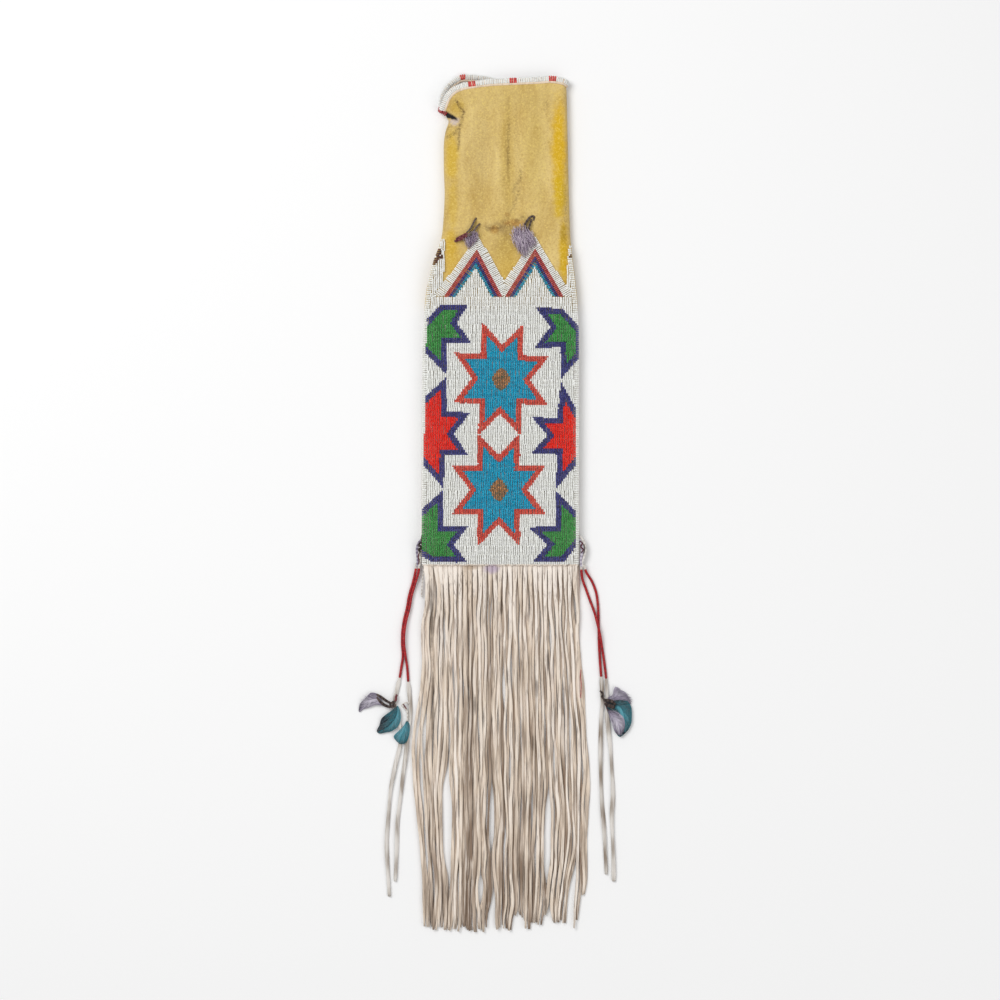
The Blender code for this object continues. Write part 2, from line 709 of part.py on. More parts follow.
def build_fringe(name, phase, header, rest):
    """One tab of hide cut into thongs below a narrow header."""
    pitch = FRINGE_WIDTH / FRINGE_THONGS
    thong = pitch * THONG_SHARE
    start = -FRINGE_WIDTH / 2
    top = PANEL_LOW - SEAT
    bm = bmesh.new()
    bmesh.ops.create_cube(bm, size=1.0)
    bmesh.ops.scale(bm, verts=bm.verts, vec=(FRINGE_WIDTH, FRINGE_HEADER, THONG_THICK))
    middle = (0, top - FRINGE_HEADER / 2, header + THONG_THICK / 2)
    bmesh.ops.translate(bm, verts=bm.verts, vec=middle)
    centres = [start + pitch * (index + phase) for index in range(FRINGE_THONGS)]
    for centre in centres:
        for side in (-1, 1):
            cut_along(bm, (centre + side * thong / 2, 0, 0), (1, 0, 0))
    bm.normal_update()
    for index, centre in enumerate(centres):
        tip = [face for face in bm.faces
               if face.normal.y < -0.9 and abs(face.calc_center_median().x - centre) < thong * 0.2]
        drop_thong(bm, tip[0], centre, index, header, rest, top)
    return finish_piece(name, bm, HIDE_BUFF, 0.85)


def drop_thong(bm, face, centre, index, header, rest, top):
    length = FRINGE_LENGTH - FRINGE_UNEVEN * (0.5 + 0.5 * math.sin(2.4 * index + 40 * header))
    stops = [0.040, 0.090, 0.190, 0.270, 0.330, length]
    x, y, z = centre, top - FRINGE_HEADER, header
    for stop in stops:
        bm.normal_update()
        face = bmesh.ops.extrude_discrete_faces(bm, faces=[face])["faces"][0]
        new_y = PANEL_LOW - stop
        new_x = centre + fringe_shift(centre, new_y)
        new_z = thong_heights(new_y, rest, header)
        bmesh.ops.translate(bm, verts=face.verts, vec=(new_x - x, new_y - y, new_z - z))
        x, y, z = new_x, new_y, new_z


# Corner knots and tassels
def rounded_lump(name, centre, half_sizes, colour, segments=12, rings=8):
    bm = bmesh.new()
    bmesh.ops.create_uvsphere(bm, u_segments=segments, v_segments=rings, radius=1.0)
    bmesh.ops.scale(bm, verts=bm.verts, vec=half_sizes)
    bmesh.ops.translate(bm, verts=bm.verts, vec=centre)
    return finish_piece(name, bm, colour, 0.85)


KNOT_HALF = (0.0027, 0.0110, 0.0030)
KNOT_Y = -0.1245
KNOT_HEIGHT = 0.0062


def build_corner_knots():
    away = HALF + SEAT + KNOT_HALF[0]
    rounded_lump("corner_knot_left", (-away, KNOT_Y, KNOT_HEIGHT), KNOT_HALF, HIDE_BUFF)
    rounded_lump("corner_knot_right", (away, KNOT_Y, KNOT_HEIGHT), KNOT_HALF, HIDE_BUFF)


# Routes of the tassel thongs in millimetres, from the corner knot down; the third value is height
WRAPS = {
    "left_outer": [(-88.9, -137.4, 5.6), (-90.2, -147.0, 3.8), (-93.1, -159.0, 2.0),
                   (-96.8, -171.7, 1.6), (-99.0, -184.4, 1.6), (-102.1, -197.2, 1.6),
                   (-103.9, -209.9, 1.6), (-104.2, -222.6, 1.6), (-103.4, -235.3, 1.6),
                   (-105.1, -248.0, 1.6), (-106.8, -258.6, 1.6)],
    "left_inner": [(-85.9, -137.2, 6.2), (-86.6, -147.0, 5.0), (-89.6, -159.0, 3.4),
                   (-93.3, -171.7, 3.2), (-95.5, -184.4, 3.4), (-98.9, -197.2, 4.0),
                   (-101.1, -209.9, 4.8), (-101.7, -222.6, 4.8), (-100.3, -235.3, 3.4),
                   (-98.8, -248.0, 1.8), (-97.7, -262.9, 1.6)],
    "right_outer": [(88.6, -138.4, 5.6), (91.4, -146.9, 4.2), (97.5, -156.9, 2.2), (101.8, -168.5, 1.6),
                    (103.6, -181.3, 1.6), (104.2, -195.0, 1.6), (104.5, -209.9, 1.6),
                    (104.9, -224.7, 1.6), (105.9, -241.7, 1.6), (107.1, -257.6, 1.6)],
    "right_inner": [(85.6, -138.4, 6.0), (86.9, -152.6, 4.4), (91.2, -165.4, 2.4), (95.8, -178.1, 2.2),
                    (100.0, -189.7, 3.6), (103.4, -202.5, 4.8), (106.2, -215.2, 4.6),
                    (108.4, -229.0, 2.4), (110.6, -243.8, 1.6), (112.4, -259.7, 1.6)],
}
TAILS = {
    "left_outer": [(-107.0, -259.6, 1.8), (-109.9, -272.4, 1.8), (-112.4, -286.2, 1.8),
                   (-110.0, -296.0, 1.8), (-107.0, -308.0, 1.8), (-105.3, -321.2, 1.8),
                   (-107.4, -335.0, 1.8), (-110.6, -347.7, 1.8), (-113.7, -362.5, 1.8),
                   (-116.4, -377.4, 1.8), (-118.0, -394.3, 1.8), (-119.4, -413.4, 1.8),
                   (-120.6, -432.5, 1.8), (-120.1, -451.6, 1.8), (-119.0, -470.6, 1.8),
                   (-117.8, -490.8, 1.8)],
    "left_inner": [(-97.6, -263.9, 1.8), (-96.8, -274.0, 1.8), (-95.7, -284.0, 1.8),
                   (-95.2, -292.6, 1.8), (-96.2, -305.3, 1.8), (-98.4, -319.1, 1.8),
                   (-99.4, -330.7, 1.8), (-101.0, -345.6, 1.8), (-103.4, -362.5, 1.8),
                   (-105.0, -377.4, 1.8), (-107.1, -394.3, 1.8), (-109.2, -413.4, 1.8),
                   (-109.8, -435.7, 1.8), (-110.6, -455.8, 1.8), (-111.6, -474.9, 1.8)],
    "right_outer": [(107.2, -258.6, 1.8), (108.1, -275.6, 1.8), (108.3, -286.2, 1.8),
                    (107.3, -298.9, 1.8), (106.7, -313.8, 1.8), (106.5, -329.7, 1.8),
                    (106.5, -345.6, 1.8), (106.7, -361.5, 1.8), (107.3, -377.4, 1.8),
                    (108.1, -393.3, 1.8), (109.3, -408.1, 1.8), (110.6, -425.1, 1.8),
                    (111.3, -441.0, 1.8), (112.0, -454.7, 1.8), (112.5, -467.5, 1.8)],
    "right_inner": [(112.6, -260.7, 1.8), (113.2, -273.5, 1.8), (113.4, -286.2, 1.8),
                    (113.6, -301.0, 1.8), (115.0, -315.9, 1.8), (116.6, -329.7, 1.8),
                    (117.7, -343.4, 1.8), (118.6, -358.3, 1.8), (119.5, -373.1, 1.8),
                    (119.5, -388.0, 1.8), (118.4, -403.9, 1.8), (118.9, -421.9, 1.8),
                    (119.8, -441.0, 1.8), (120.3, -459.0, 1.8), (120.5, -474.9, 1.8)],
}


def thong_tube(name, route, diameter, colour):
    """Round thong along a smooth route, one point every two or three diameters."""
    points = smooth_path(route, 200)
    length = sum((b - a).length for a, b in zip(points, points[1:]))
    points = resample(points, max(3, round(length / (2.8 * diameter)) + 1))
    curve = bpy.data.curves.new(name, "CURVE")
    curve.dimensions = "3D"
    curve.bevel_depth = diameter / 2
    curve.bevel_resolution = 2
    curve.use_fill_caps = True
    spline = curve.splines.new("POLY")
    spline.points.add(len(points) - 1)
    for point, place in zip(spline.points, points):
        point.co = (*place, 1.0)
    piece = bpy.data.objects.new(name, curve)
    BAG.objects.link(piece)
    curve.materials.append(make_material(name, colour, 0.7))
    return piece


def tassel_route(points):
    return [Vector((x * MM, y * MM, z * MM)) for x, y, z in points]


def build_tassels():
    for name, route in WRAPS.items():
        thong_tube(f"tassel_{name}_wrap", tassel_route(route), WRAP_DIAMETER, QUILL_RED)
    for name, route in TAILS.items():
        thong_tube(f"tassel_{name}_tail", tassel_route(route), TAIL_DIAMETER, HIDE_BUFF)


# Feathers: outline in millimetres with the quill end first, layer above the tails, and the share
# of its height that the outer end sinks by
FEATHERS = {
    "feather_left_plume": {
        "layer": 0, "droop": 0.8, "colour": PLUME_PURPLE,
        "outline": [(-110.6, -284.6), (-116.0, -280.6), (-124.6, -276.0), (-131.8, -274.0),
                    (-138.1, -274.4), (-143.9, -280.6), (-149.8, -290.4), (-150.0, -294.7),
                    (-144.5, -291.5), (-136.0, -288.3), (-127.5, -287.3), (-121.2, -289.4),
                    (-112.6, -291.0)],
    },
    "feather_left_teal": {
        "layer": 0, "droop": 0.4, "colour": PLUME_TEAL,
        "outline": [(-108.8, -288.0), (-106.0, -294.0), (-105.4, -303.2), (-109.0, -311.0),
                    (-115.0, -315.4), (-121.2, -316.9), (-128.6, -318.0), (-131.2, -314.8),
                    (-128.6, -309.5), (-126.5, -302.1), (-122.2, -297.9), (-115.6, -293.4)],
    },
    "feather_left_green": {
        "layer": 0, "droop": 0.0, "colour": PLUME_TEAL,
        "outline": [(-99.0, -303.0), (-96.0, -309.0), (-96.0, -316.0), (-97.3, -322.2),
                    (-100.0, -327.5), (-105.3, -329.1), (-110.6, -325.4), (-113.2, -320.5),
                    (-108.0, -315.0), (-103.4, -310.4)],
    },
    "feather_right_purple": {
        "layer": 0, "droop": 0.5, "colour": PLUME_PURPLE,
        "outline": [(112.0, -284.6), (118.5, -285.0), (119.5, -277.7), (122.6, -268.2), (127.9, -271.4),
                    (134.3, -273.5), (137.5, -279.8), (140.0, -286.8), (136.0, -289.0), (131.1, -286.2),
                    (124.8, -285.6), (118.4, -288.6)],
    },
    "feather_right_teal": {
        "layer": 0, "droop": 0.0, "colour": PLUME_TEAL,
        "outline": [(110.6, -288.6), (117.8, -290.0), (124.6, -287.4), (130.6, -288.4), (137.0, -291.6),
                    (139.6, -298.9), (139.1, -307.4), (135.4, -314.8), (127.9, -321.2), (122.6, -319.6),
                    (118.4, -312.0), (113.0, -300.0)],
    },
    "feather_right_lower": {
        "layer": 1, "droop": 0.0, "colour": PLUME_PURPLE,
        "outline": [(112.0, -291.5), (118.4, -293.6), (124.8, -295.2), (131.1, -301.0), (132.2, -310.6),
                    (127.9, -316.9), (122.6, -314.8), (118.4, -307.4), (114.2, -298.9)],
    },
}


def build_feathers():
    """Each feather lies over the tails at its quill end; the outer end sinks towards the floor."""
    base = TAIL_HEIGHT + TAIL_DIAMETER / 2 + SEAT
    for name, feather in FEATHERS.items():
        outline = metres(feather["outline"])
        bm = flat_solid(name, [outline], FEATHER_THICK)
        root = outline[0]
        reach = max((point - root).length for point in outline)
        level = base + feather["layer"] * (FEATHER_THICK + SEAT)
        for vert in bm.verts:
            away = (vert.co.xy - root).length / reach
            sink = feather["droop"] * base * max(0.0, away - 0.5) / 0.5
            vert.co.z += level + FEATHER_THICK / 2 - sink
        finish_piece(name, bm, feather["colour"], 0.7)


# Neck ties and their tufts of down
TIES = {
    "left": {"start": (-0.492, 21.0), "tuft": (-0.553, -2.0), "half": (5.6, 7.6, 2.4)},
    "right": {"start": (0.371, 22.5), "tuft": (0.318, -2.5), "half": (9.5, 14.5, 2.8)},
}
TIE_DIAMETER = 0.0022


def build_neck_ties():
    for side, tie in TIES.items():
        half = tuple(size * MM for size in tie["half"])
        (x, y), (start_x, start_y) = neck_places([tie["tuft"], tie["start"]])
        middle = BEAD_TOP + SEAT + half[2]
        rounded_lump(f"tuft_{side}", (x, y, middle), half, DOWN_PURPLE)
        low = FRONT_HIGH + SEAT + TIE_DIAMETER / 2
        high = middle + half[2] + SEAT + TIE_DIAMETER / 2
        over = y + half[1] * 0.4
        route = [(start_x, start_y, low), (start_x, start_y - 0.004, low + 0.0002),
                 (x + 0.3 * (start_x - x), y + half[1] + 0.002, high), (x, over, high)]
        thong_tube(f"tie_{side}", [Vector(point) for point in route], TIE_DIAMETER, HIDE_DARK)


build_hide()
build_rim()
build_beadwork()
build_back()
build_fringe("fringe_front", 0.42, FRONT_HIGH - FOOT_DROP - THONG_THICK, THONG_THICK + SEAT)
build_fringe("fringe_back", 0.58, BACK_LOW + 0.0006, 0.0)
build_corner_knots()
build_tassels()
build_feathers()
build_neck_ties()
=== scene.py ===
# Looks of the beaded hide pipe bag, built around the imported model.
# Metres. +X across the bag, +Y from the fringe towards the mouth, +Z up out of the beaded front.
import json
import math
import random

import bmesh
import bpy
import numpy as np
from mathutils import Matrix, Vector, noise
from mathutils.bvhtree import BVHTree


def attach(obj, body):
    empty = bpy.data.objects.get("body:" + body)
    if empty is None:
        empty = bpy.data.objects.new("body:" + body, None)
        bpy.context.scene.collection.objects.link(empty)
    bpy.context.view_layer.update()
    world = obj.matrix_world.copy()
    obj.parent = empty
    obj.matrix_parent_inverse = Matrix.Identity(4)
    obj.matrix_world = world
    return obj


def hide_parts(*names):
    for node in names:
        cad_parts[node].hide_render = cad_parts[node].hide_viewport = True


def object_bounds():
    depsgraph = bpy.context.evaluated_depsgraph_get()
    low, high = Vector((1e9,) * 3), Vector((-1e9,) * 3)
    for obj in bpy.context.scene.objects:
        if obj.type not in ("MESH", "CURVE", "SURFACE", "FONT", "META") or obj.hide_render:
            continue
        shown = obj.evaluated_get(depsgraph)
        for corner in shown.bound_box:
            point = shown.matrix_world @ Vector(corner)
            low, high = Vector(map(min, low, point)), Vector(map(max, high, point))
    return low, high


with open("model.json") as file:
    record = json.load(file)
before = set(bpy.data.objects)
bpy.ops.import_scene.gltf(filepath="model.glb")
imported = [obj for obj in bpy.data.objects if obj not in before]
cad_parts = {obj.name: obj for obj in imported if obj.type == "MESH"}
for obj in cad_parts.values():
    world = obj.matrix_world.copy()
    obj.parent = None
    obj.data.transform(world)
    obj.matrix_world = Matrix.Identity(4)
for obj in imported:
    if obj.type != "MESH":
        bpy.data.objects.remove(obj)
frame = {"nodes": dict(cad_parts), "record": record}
CAD_BOX = [list(corner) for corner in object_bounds()]
NODES = frame["nodes"]
SLOT_OF = {row["node"]: row["material_slot"] for row in frame["record"]["subparts"]}
SLOTS = set(SLOT_OF.values())

MM = 0.001
UP = Vector((0, 0, 1))


# Camera, light and floor
CAMERA_PLACE = (-0.0003, -0.0700, 2.951)
CAMERA_LENS = 100
CAMERA_SENSOR = 36
KEY_LIGHT = {"place": (-1.3, 1.0, 2.5), "size": 1.6, "watts": 46}
FILL_LIGHT = {"place": (1.5, -0.9, 2.2), "size": 2.0, "watts": 16}
ROOM_LIGHT = 0.42
FLOOR_SIZE = 6.0
FLOOR_DEPTH = 0.0002
FLOOR_LIT = (0.72, 0.72, 0.72, 1)
WHITE = (1.0, 1.0, 1.0, 1)


def new_object(name, data):
    item = bpy.data.objects.new(name, data)
    bpy.context.scene.collection.objects.link(item)
    return item


def node(tree, kind, inputs=None, **settings):
    """Add a node with its settings and the plain values of its inputs."""
    made = tree.nodes.new(kind)
    for key, value in settings.items():
        setattr(made, key, value)
    for key, value in (inputs or {}).items():
        made.inputs[key].default_value = value
    return made


def join(tree, start, out, end, into):
    tree.links.new(start.outputs[out], end.inputs[into])


def mix_colours(tree, share, out, first, second):
    """From one plain colour to another as a share goes from 0 to 1."""
    mix = node(tree, "ShaderNodeMix", data_type="RGBA")
    mix.inputs["A"].default_value = first
    mix.inputs["B"].default_value = second
    join(tree, share, out, mix, "Factor")
    return mix


def make_camera():
    data = bpy.data.cameras.new("camera")
    data.lens = CAMERA_LENS
    data.sensor_width = CAMERA_SENSOR
    camera = new_object("camera", data)
    camera.location = CAMERA_PLACE
    bpy.context.scene.camera = camera


def make_light(name, spec):
    data = bpy.data.lights.new(name, "AREA")
    data.energy = spec["watts"]
    data.size = spec["size"]
    light = new_object(name, data)
    light.location = spec["place"]
    light.rotation_mode = "QUATERNION"
    light.rotation_quaternion = (-Vector(spec["place"])).to_track_quat("-Z", "Y")
    light.visible_camera = False
    light.visible_glossy = name == "key_light"


def seen_directly(tree):
    """1 for what the camera, a mirror or clear glass sees, 0 for light that falls on the object."""
    path = node(tree, "ShaderNodeLightPath")
    first = node(tree, "ShaderNodeMath", operation="MAXIMUM")
    second = node(tree, "ShaderNodeMath", operation="MAXIMUM")
    join(tree, path, "Is Camera Ray", first, 0)
    join(tree, path, "Is Glossy Ray", first, 1)
    join(tree, first, 0, second, 0)
    join(tree, path, "Is Transmission Ray", second, 1)
    return second


def make_room():
    world = bpy.data.worlds.new("studio")
    bpy.context.scene.world = world
    world.use_nodes = True
    tree = world.node_tree
    tree.nodes.clear()
    shade = node(tree, "ShaderNodeBackground", {"Color": WHITE})
    level = node(tree, "ShaderNodeMapRange", {"To Min": ROOM_LIGHT, "To Max": 1.0})
    output = node(tree, "ShaderNodeOutputWorld")
    join(tree, seen_directly(tree), 0, level, "Value")
    join(tree, level, "Result", shade, "Strength")
    join(tree, shade, 0, output, "Surface")


def make_floor():
    material = bpy.data.materials.new("floor")
    material.use_nodes = True
    tree = material.node_tree
    shader = tree.nodes["Principled BSDF"]
    shader.inputs["Roughness"].default_value = 0.9
    shader.inputs["Specular IOR Level"].default_value = 0.0
    tint = mix_colours(tree, seen_directly(tree), 0, FLOOR_LIT, WHITE)
    join(tree, tint, "Result", shader, "Base Color")
    mesh = bpy.data.meshes.new("floor")
    half = FLOOR_SIZE / 2
    low = CAD_BOX[0][2] - FLOOR_DEPTH
    corners = [(-half, -half, low), (half, -half, low), (half, half, low), (-half, half, low)]
    mesh.from_pydata(corners, [], [(0, 1, 2, 3)])
    mesh.materials.append(material)
    new_object("floor", mesh)


make_camera()
make_light("key_light", KEY_LIGHT)
make_light("fill_light", FILL_LIGHT)
make_room()
make_floor()
bpy.context.scene.view_settings.view_transform = "Standard"


# Shader groups
def new_group(name, inputs, outputs):
    """A shader group with named sockets, and its two end nodes."""
    tree = bpy.data.node_groups.new(name, "ShaderNodeTree")
    for label, kind, value in inputs:
        socket = tree.interface.new_socket(label, in_out="INPUT", socket_type="NodeSocket" + kind)
        socket.default_value = value
    for label, kind in outputs:
        tree.interface.new_socket(label, in_out="OUTPUT", socket_type="NodeSocket" + kind)
    return tree, node(tree, "NodeGroupInput"), node(tree, "NodeGroupOutput")


def make_soft_spot():
    """A soft-edged oval patch with a ragged border."""
    tree, start, end = new_group(
        "soft_spot",
        [("Vector", "Vector", (0, 0, 0)), ("Centre", "Vector", (0, 0, 0)), ("Reach", "Vector", (1, 1, 1)),
         ("Ragged", "Float", 0.5)],
        [("Mask", "Float")],
    )
    away = node(tree, "ShaderNodeVectorMath", operation="SUBTRACT")
    scaled = node(tree, "ShaderNodeVectorMath", operation="DIVIDE")
    length = node(tree, "ShaderNodeVectorMath", operation="LENGTH")
    rough = node(tree, "ShaderNodeTexNoise", {"Scale": 140.0, "Detail": 5.0, "Roughness": 0.65})
    shift = node(tree, "ShaderNodeMath", {1: 0.5}, operation="SUBTRACT")
    push = node(tree, "ShaderNodeMath", operation="MULTIPLY_ADD")
    fade = node(tree, "ShaderNodeMapRange", {"From Min": 1.25, "From Max": 0.35}, interpolation_type="SMOOTHSTEP")
    join(tree, start, "Vector", away, 0)
    join(tree, start, "Centre", away, 1)
    join(tree, away, 0, scaled, 0)
    join(tree, start, "Reach", scaled, 1)
    join(tree, scaled, 0, length, 0)
    join(tree, start, "Vector", rough, "Vector")
    join(tree, rough, "Fac", shift, 0)
    join(tree, shift, 0, push, 0)
    join(tree, start, "Ragged", push, 1)
    join(tree, length, "Value", push, 2)
    join(tree, push, 0, fade, "Value")
    join(tree, fade, "Result", end, "Mask")
    return tree


def make_hide_grain():
    """Nap and fine wrinkles of brain-tanned hide, and the slow mottling of its colour."""
    tree, start, end = new_group(
        "hide_grain",
        [("Vector", "Vector", (0, 0, 0)), ("Stretch", "Vector", (1, 0.4, 1)), ("Fine Scale", "Float", 900.0),
         ("Mottle Scale", "Float", 60.0)],
        [("Height", "Float"), ("Mottle", "Float")],
    )
    stretched = node(tree, "ShaderNodeVectorMath", operation="MULTIPLY")
    nap = node(tree, "ShaderNodeTexNoise", {"Detail": 6.0, "Roughness": 0.7})
    wrinkle = node(tree, "ShaderNodeTexNoise", {"Scale": 160.0, "Detail": 4.0, "Distortion": 0.6})
    height = node(tree, "ShaderNodeMath", {1: 1.6}, operation="MULTIPLY_ADD")
    mottle = node(tree, "ShaderNodeTexNoise", {"Detail": 5.0, "Roughness": 0.6, "Distortion": 0.4})
    join(tree, start, "Vector", stretched, 0)
    join(tree, start, "Stretch", stretched, 1)
    join(tree, start, "Vector", nap, "Vector")
    join(tree, start, "Fine Scale", nap, "Scale")
    join(tree, stretched, 0, wrinkle, "Vector")
    join(tree, stretched, 0, mottle, "Vector")
    join(tree, start, "Mottle Scale", mottle, "Scale")
    join(tree, wrinkle, "Fac", height, 0)
    join(tree, nap, "Fac", height, 2)
    join(tree, height, 0, end, "Height")
    join(tree, mottle, "Fac", end, "Mottle")
    return tree


def make_piece_tone():
    """Colour of one bead, hair or thong out of many: each has its own tone from 0, dark, to 1, light."""
    tree, start, end = new_group(
        "piece_tone",
        [("Dark", "Color", (0, 0, 0, 1)), ("Middle", "Color", (0.5, 0.5, 0.5, 1)),
         ("Light", "Color", (1, 1, 1, 1))],
        [("Color", "Color")],
    )
    tone = node(tree, "ShaderNodeAttribute", attribute_name="tone")
    low = node(tree, "ShaderNodeMapRange", {"From Min": 0.0, "From Max": 0.5})
    high = node(tree, "ShaderNodeMapRange", {"From Min": 0.5, "From Max": 1.0})
    darker = node(tree, "ShaderNodeMix", data_type="RGBA")
    lighter = node(tree, "ShaderNodeMix", data_type="RGBA")
    join(tree, tone, "Fac", low, "Value")
    join(tree, tone, "Fac", high, "Value")
    join(tree, low, "Result", darker, "Factor")
    join(tree, high, "Result", lighter, "Factor")
    join(tree, start, "Dark", darker, "A")
    join(tree, start, "Middle", darker, "B")
    join(tree, darker, "Result", lighter, "A")
    join(tree, start, "Light", lighter, "B")
    join(tree, lighter, "Result", end, "Color")
    return tree


SOFT_SPOT = make_soft_spot()
HIDE_GRAIN = make_hide_grain()
PIECE_TONE = make_piece_tone()


def group(tree, made_of, inputs=None):
    """Add a shader group. node() sets node_tree first, so the sockets exist when they get their values."""
    return node(tree, "ShaderNodeGroup", inputs, node_tree=made_of)


def tone_colours(tree, dark, middle, light):
    return group(tree, PIECE_TONE, {"Dark": (*dark, 1), "Middle": (*middle, 1), "Light": (*light, 1)})


def new_material(name, roughness, specular=0.5):
    material = bpy.data.materials.new(name)
    material.use_nodes = True
    tree = material.node_tree
    shader = tree.nodes["Principled BSDF"]
    shader.inputs["Roughness"].default_value = roughness
    shader.inputs["Specular IOR Level"].default_value = specular
    return material, tree, shader


def blend_colour(tree, mask, out, below, below_out, colour, strength=1.0):
    """Lay a colour over another where a mask says so."""
    share = node(tree, "ShaderNodeMath", {1: strength}, operation="MULTIPLY")
    mix = node(tree, "ShaderNodeMix", data_type="RGBA")
    mix.inputs["B"].default_value = (*colour, 1)
    join(tree, mask, out, share, 0)
    join(tree, share, 0, mix, "Factor")
    join(tree, below, below_out, mix, "A")
    return mix


def blend_past(tree, source, source_out, limits, below, colour, strength=1.0, below_out="Result"):
    """Lay a colour over another as a value goes from the first of two limits to the second."""
    mask = node(tree, "ShaderNodeMapRange", {"From Min": limits[0], "From Max": limits[1]})
    join(tree, source, source_out, mask, "Value")
    return blend_colour(tree, mask, "Result", below, below_out, colour, strength)


def blend_spots(tree, place, spots, strength, below):
    """Lay ragged patches over a colour. A spot is its centre, its reach, its colour and its own strength."""
    for (x, y), (wide, tall), tint, own in spots:
        spot = group(tree, SOFT_SPOT, {"Centre": (x * MM, y * MM, SPOT_HEIGHT),
                                       "Reach": (wide * MM, tall * MM, SPOT_DEEP), "Ragged": SPOT_RAGGED})
        join(tree, place, "Object", spot, "Vector")
        below = blend_colour(tree, spot, "Mask", below, "Result", tint, own * strength)
    return below


def bump(tree, height, out, shader, distance, strength=1.0):
    made = node(tree, "ShaderNodeBump", {"Distance": distance, "Strength": strength})
    join(tree, height, out, made, "Height")
    join(tree, made, "Normal", shader, "Normal")


# Height of the middle of a patch of colour, how deep it reaches, and how ragged its edge is
SPOT_HEIGHT = 0.008
SPOT_DEEP = 0.05
SPOT_RAGGED = 1.1
# Ochre patches on the neck, and a dark olive patch of dirt and painted shade between the tufts: centre and reach
# in millimetres, colour, strength
OCHRE_AND_SHADE_PATCHES = [
    ((10, 356), (70, 15), (0.60, 0.43, 0.15), 0.6),
    ((-24, 300), (24, 50), (0.70, 0.53, 0.23), 0.6),
    ((36, 300), (16, 60), (0.71, 0.54, 0.18), 0.5),
    ((8, 285), (9, 75), (0.58, 0.39, 0.09), 0.7),
    ((62, 305), (9, 56), (0.74, 0.44, 0.0), 1.2),
    ((63, 252), (8, 30), (0.68, 0.43, 0.0), 1.1),
    ((67, 190), (6, 40), (0.66, 0.40, 0.0), 1.2),
    ((66, 211), (3.5, 10), (0.44, 0.27, 0.02), 0.9),
    ((-51, 292), (8, 32), (0.70, 0.45, 0.03), 1.0),
    ((-50, 240), (6, 26), (0.66, 0.43, 0.05), 0.8),
    ((-52, 200), (6, 20), (0.66, 0.42, 0.02), 0.9),
    ((-51, 185), (10, 34), (0.68, 0.42, 0.04), 0.8),
    ((8, 182), (15, 30), (0.62, 0.39, 0.04), 0.7),
    # Dirt and painted shade between the tufts
    ((4, 218), (26, 8), (0.33, 0.22, 0.10), 0.6),
    ((14, 223), (13, 4), (0.52, 0.24, 0.05), 0.8),
    ((-6.5, 216), (5.5, 5), (0.52, 0.24, 0.03), 0.8),
    ((7.5, 232), (3.5, 3), (0.42, 0.22, 0.06), 0.7),
    ((5, 200), (14, 20), (0.47, 0.33, 0.11), 0.5),
    ((8.5, 282), (2.2, 26), (0.36, 0.23, 0.06), 0.7),
    ((-48.4, 330.6), (6.2, 5.4), (0.66, 0.55, 0.52), 1.2),
    ((-45, 345), (8, 10), (0.58, 0.37, 0.04), 0.8),
]
PATCH_STRENGTH = 0.75
OCHRE_DARK = (0.55, 0.36, 0.10, 1)
OCHRE_LIGHT = (0.80, 0.60, 0.24, 1)
FLECK_BROWN = (0.42, 0.25, 0.04)
FLECK_YELLOW = (0.90, 0.69, 0.20)
# Colour that the creases are darkened to: dirt and painted shade
DIRT_AND_SHADE_BROWN = (0.16, 0.095, 0.035)
# Black of the notch at the mouth's corner: painted shade of the opening under the rim
NOTCH_SHADE_COLOUR = (0.012, 0.010, 0.012)
PLAIN_HIDE = (0.78, 0.74, 0.68)
INSIDE_HIDE = (0.66, 0.56, 0.47)
# Where the ochre ends under the beads, and over what height it fades
OCHRE_LOW = 0.128
OCHRE_FADE = 0.012


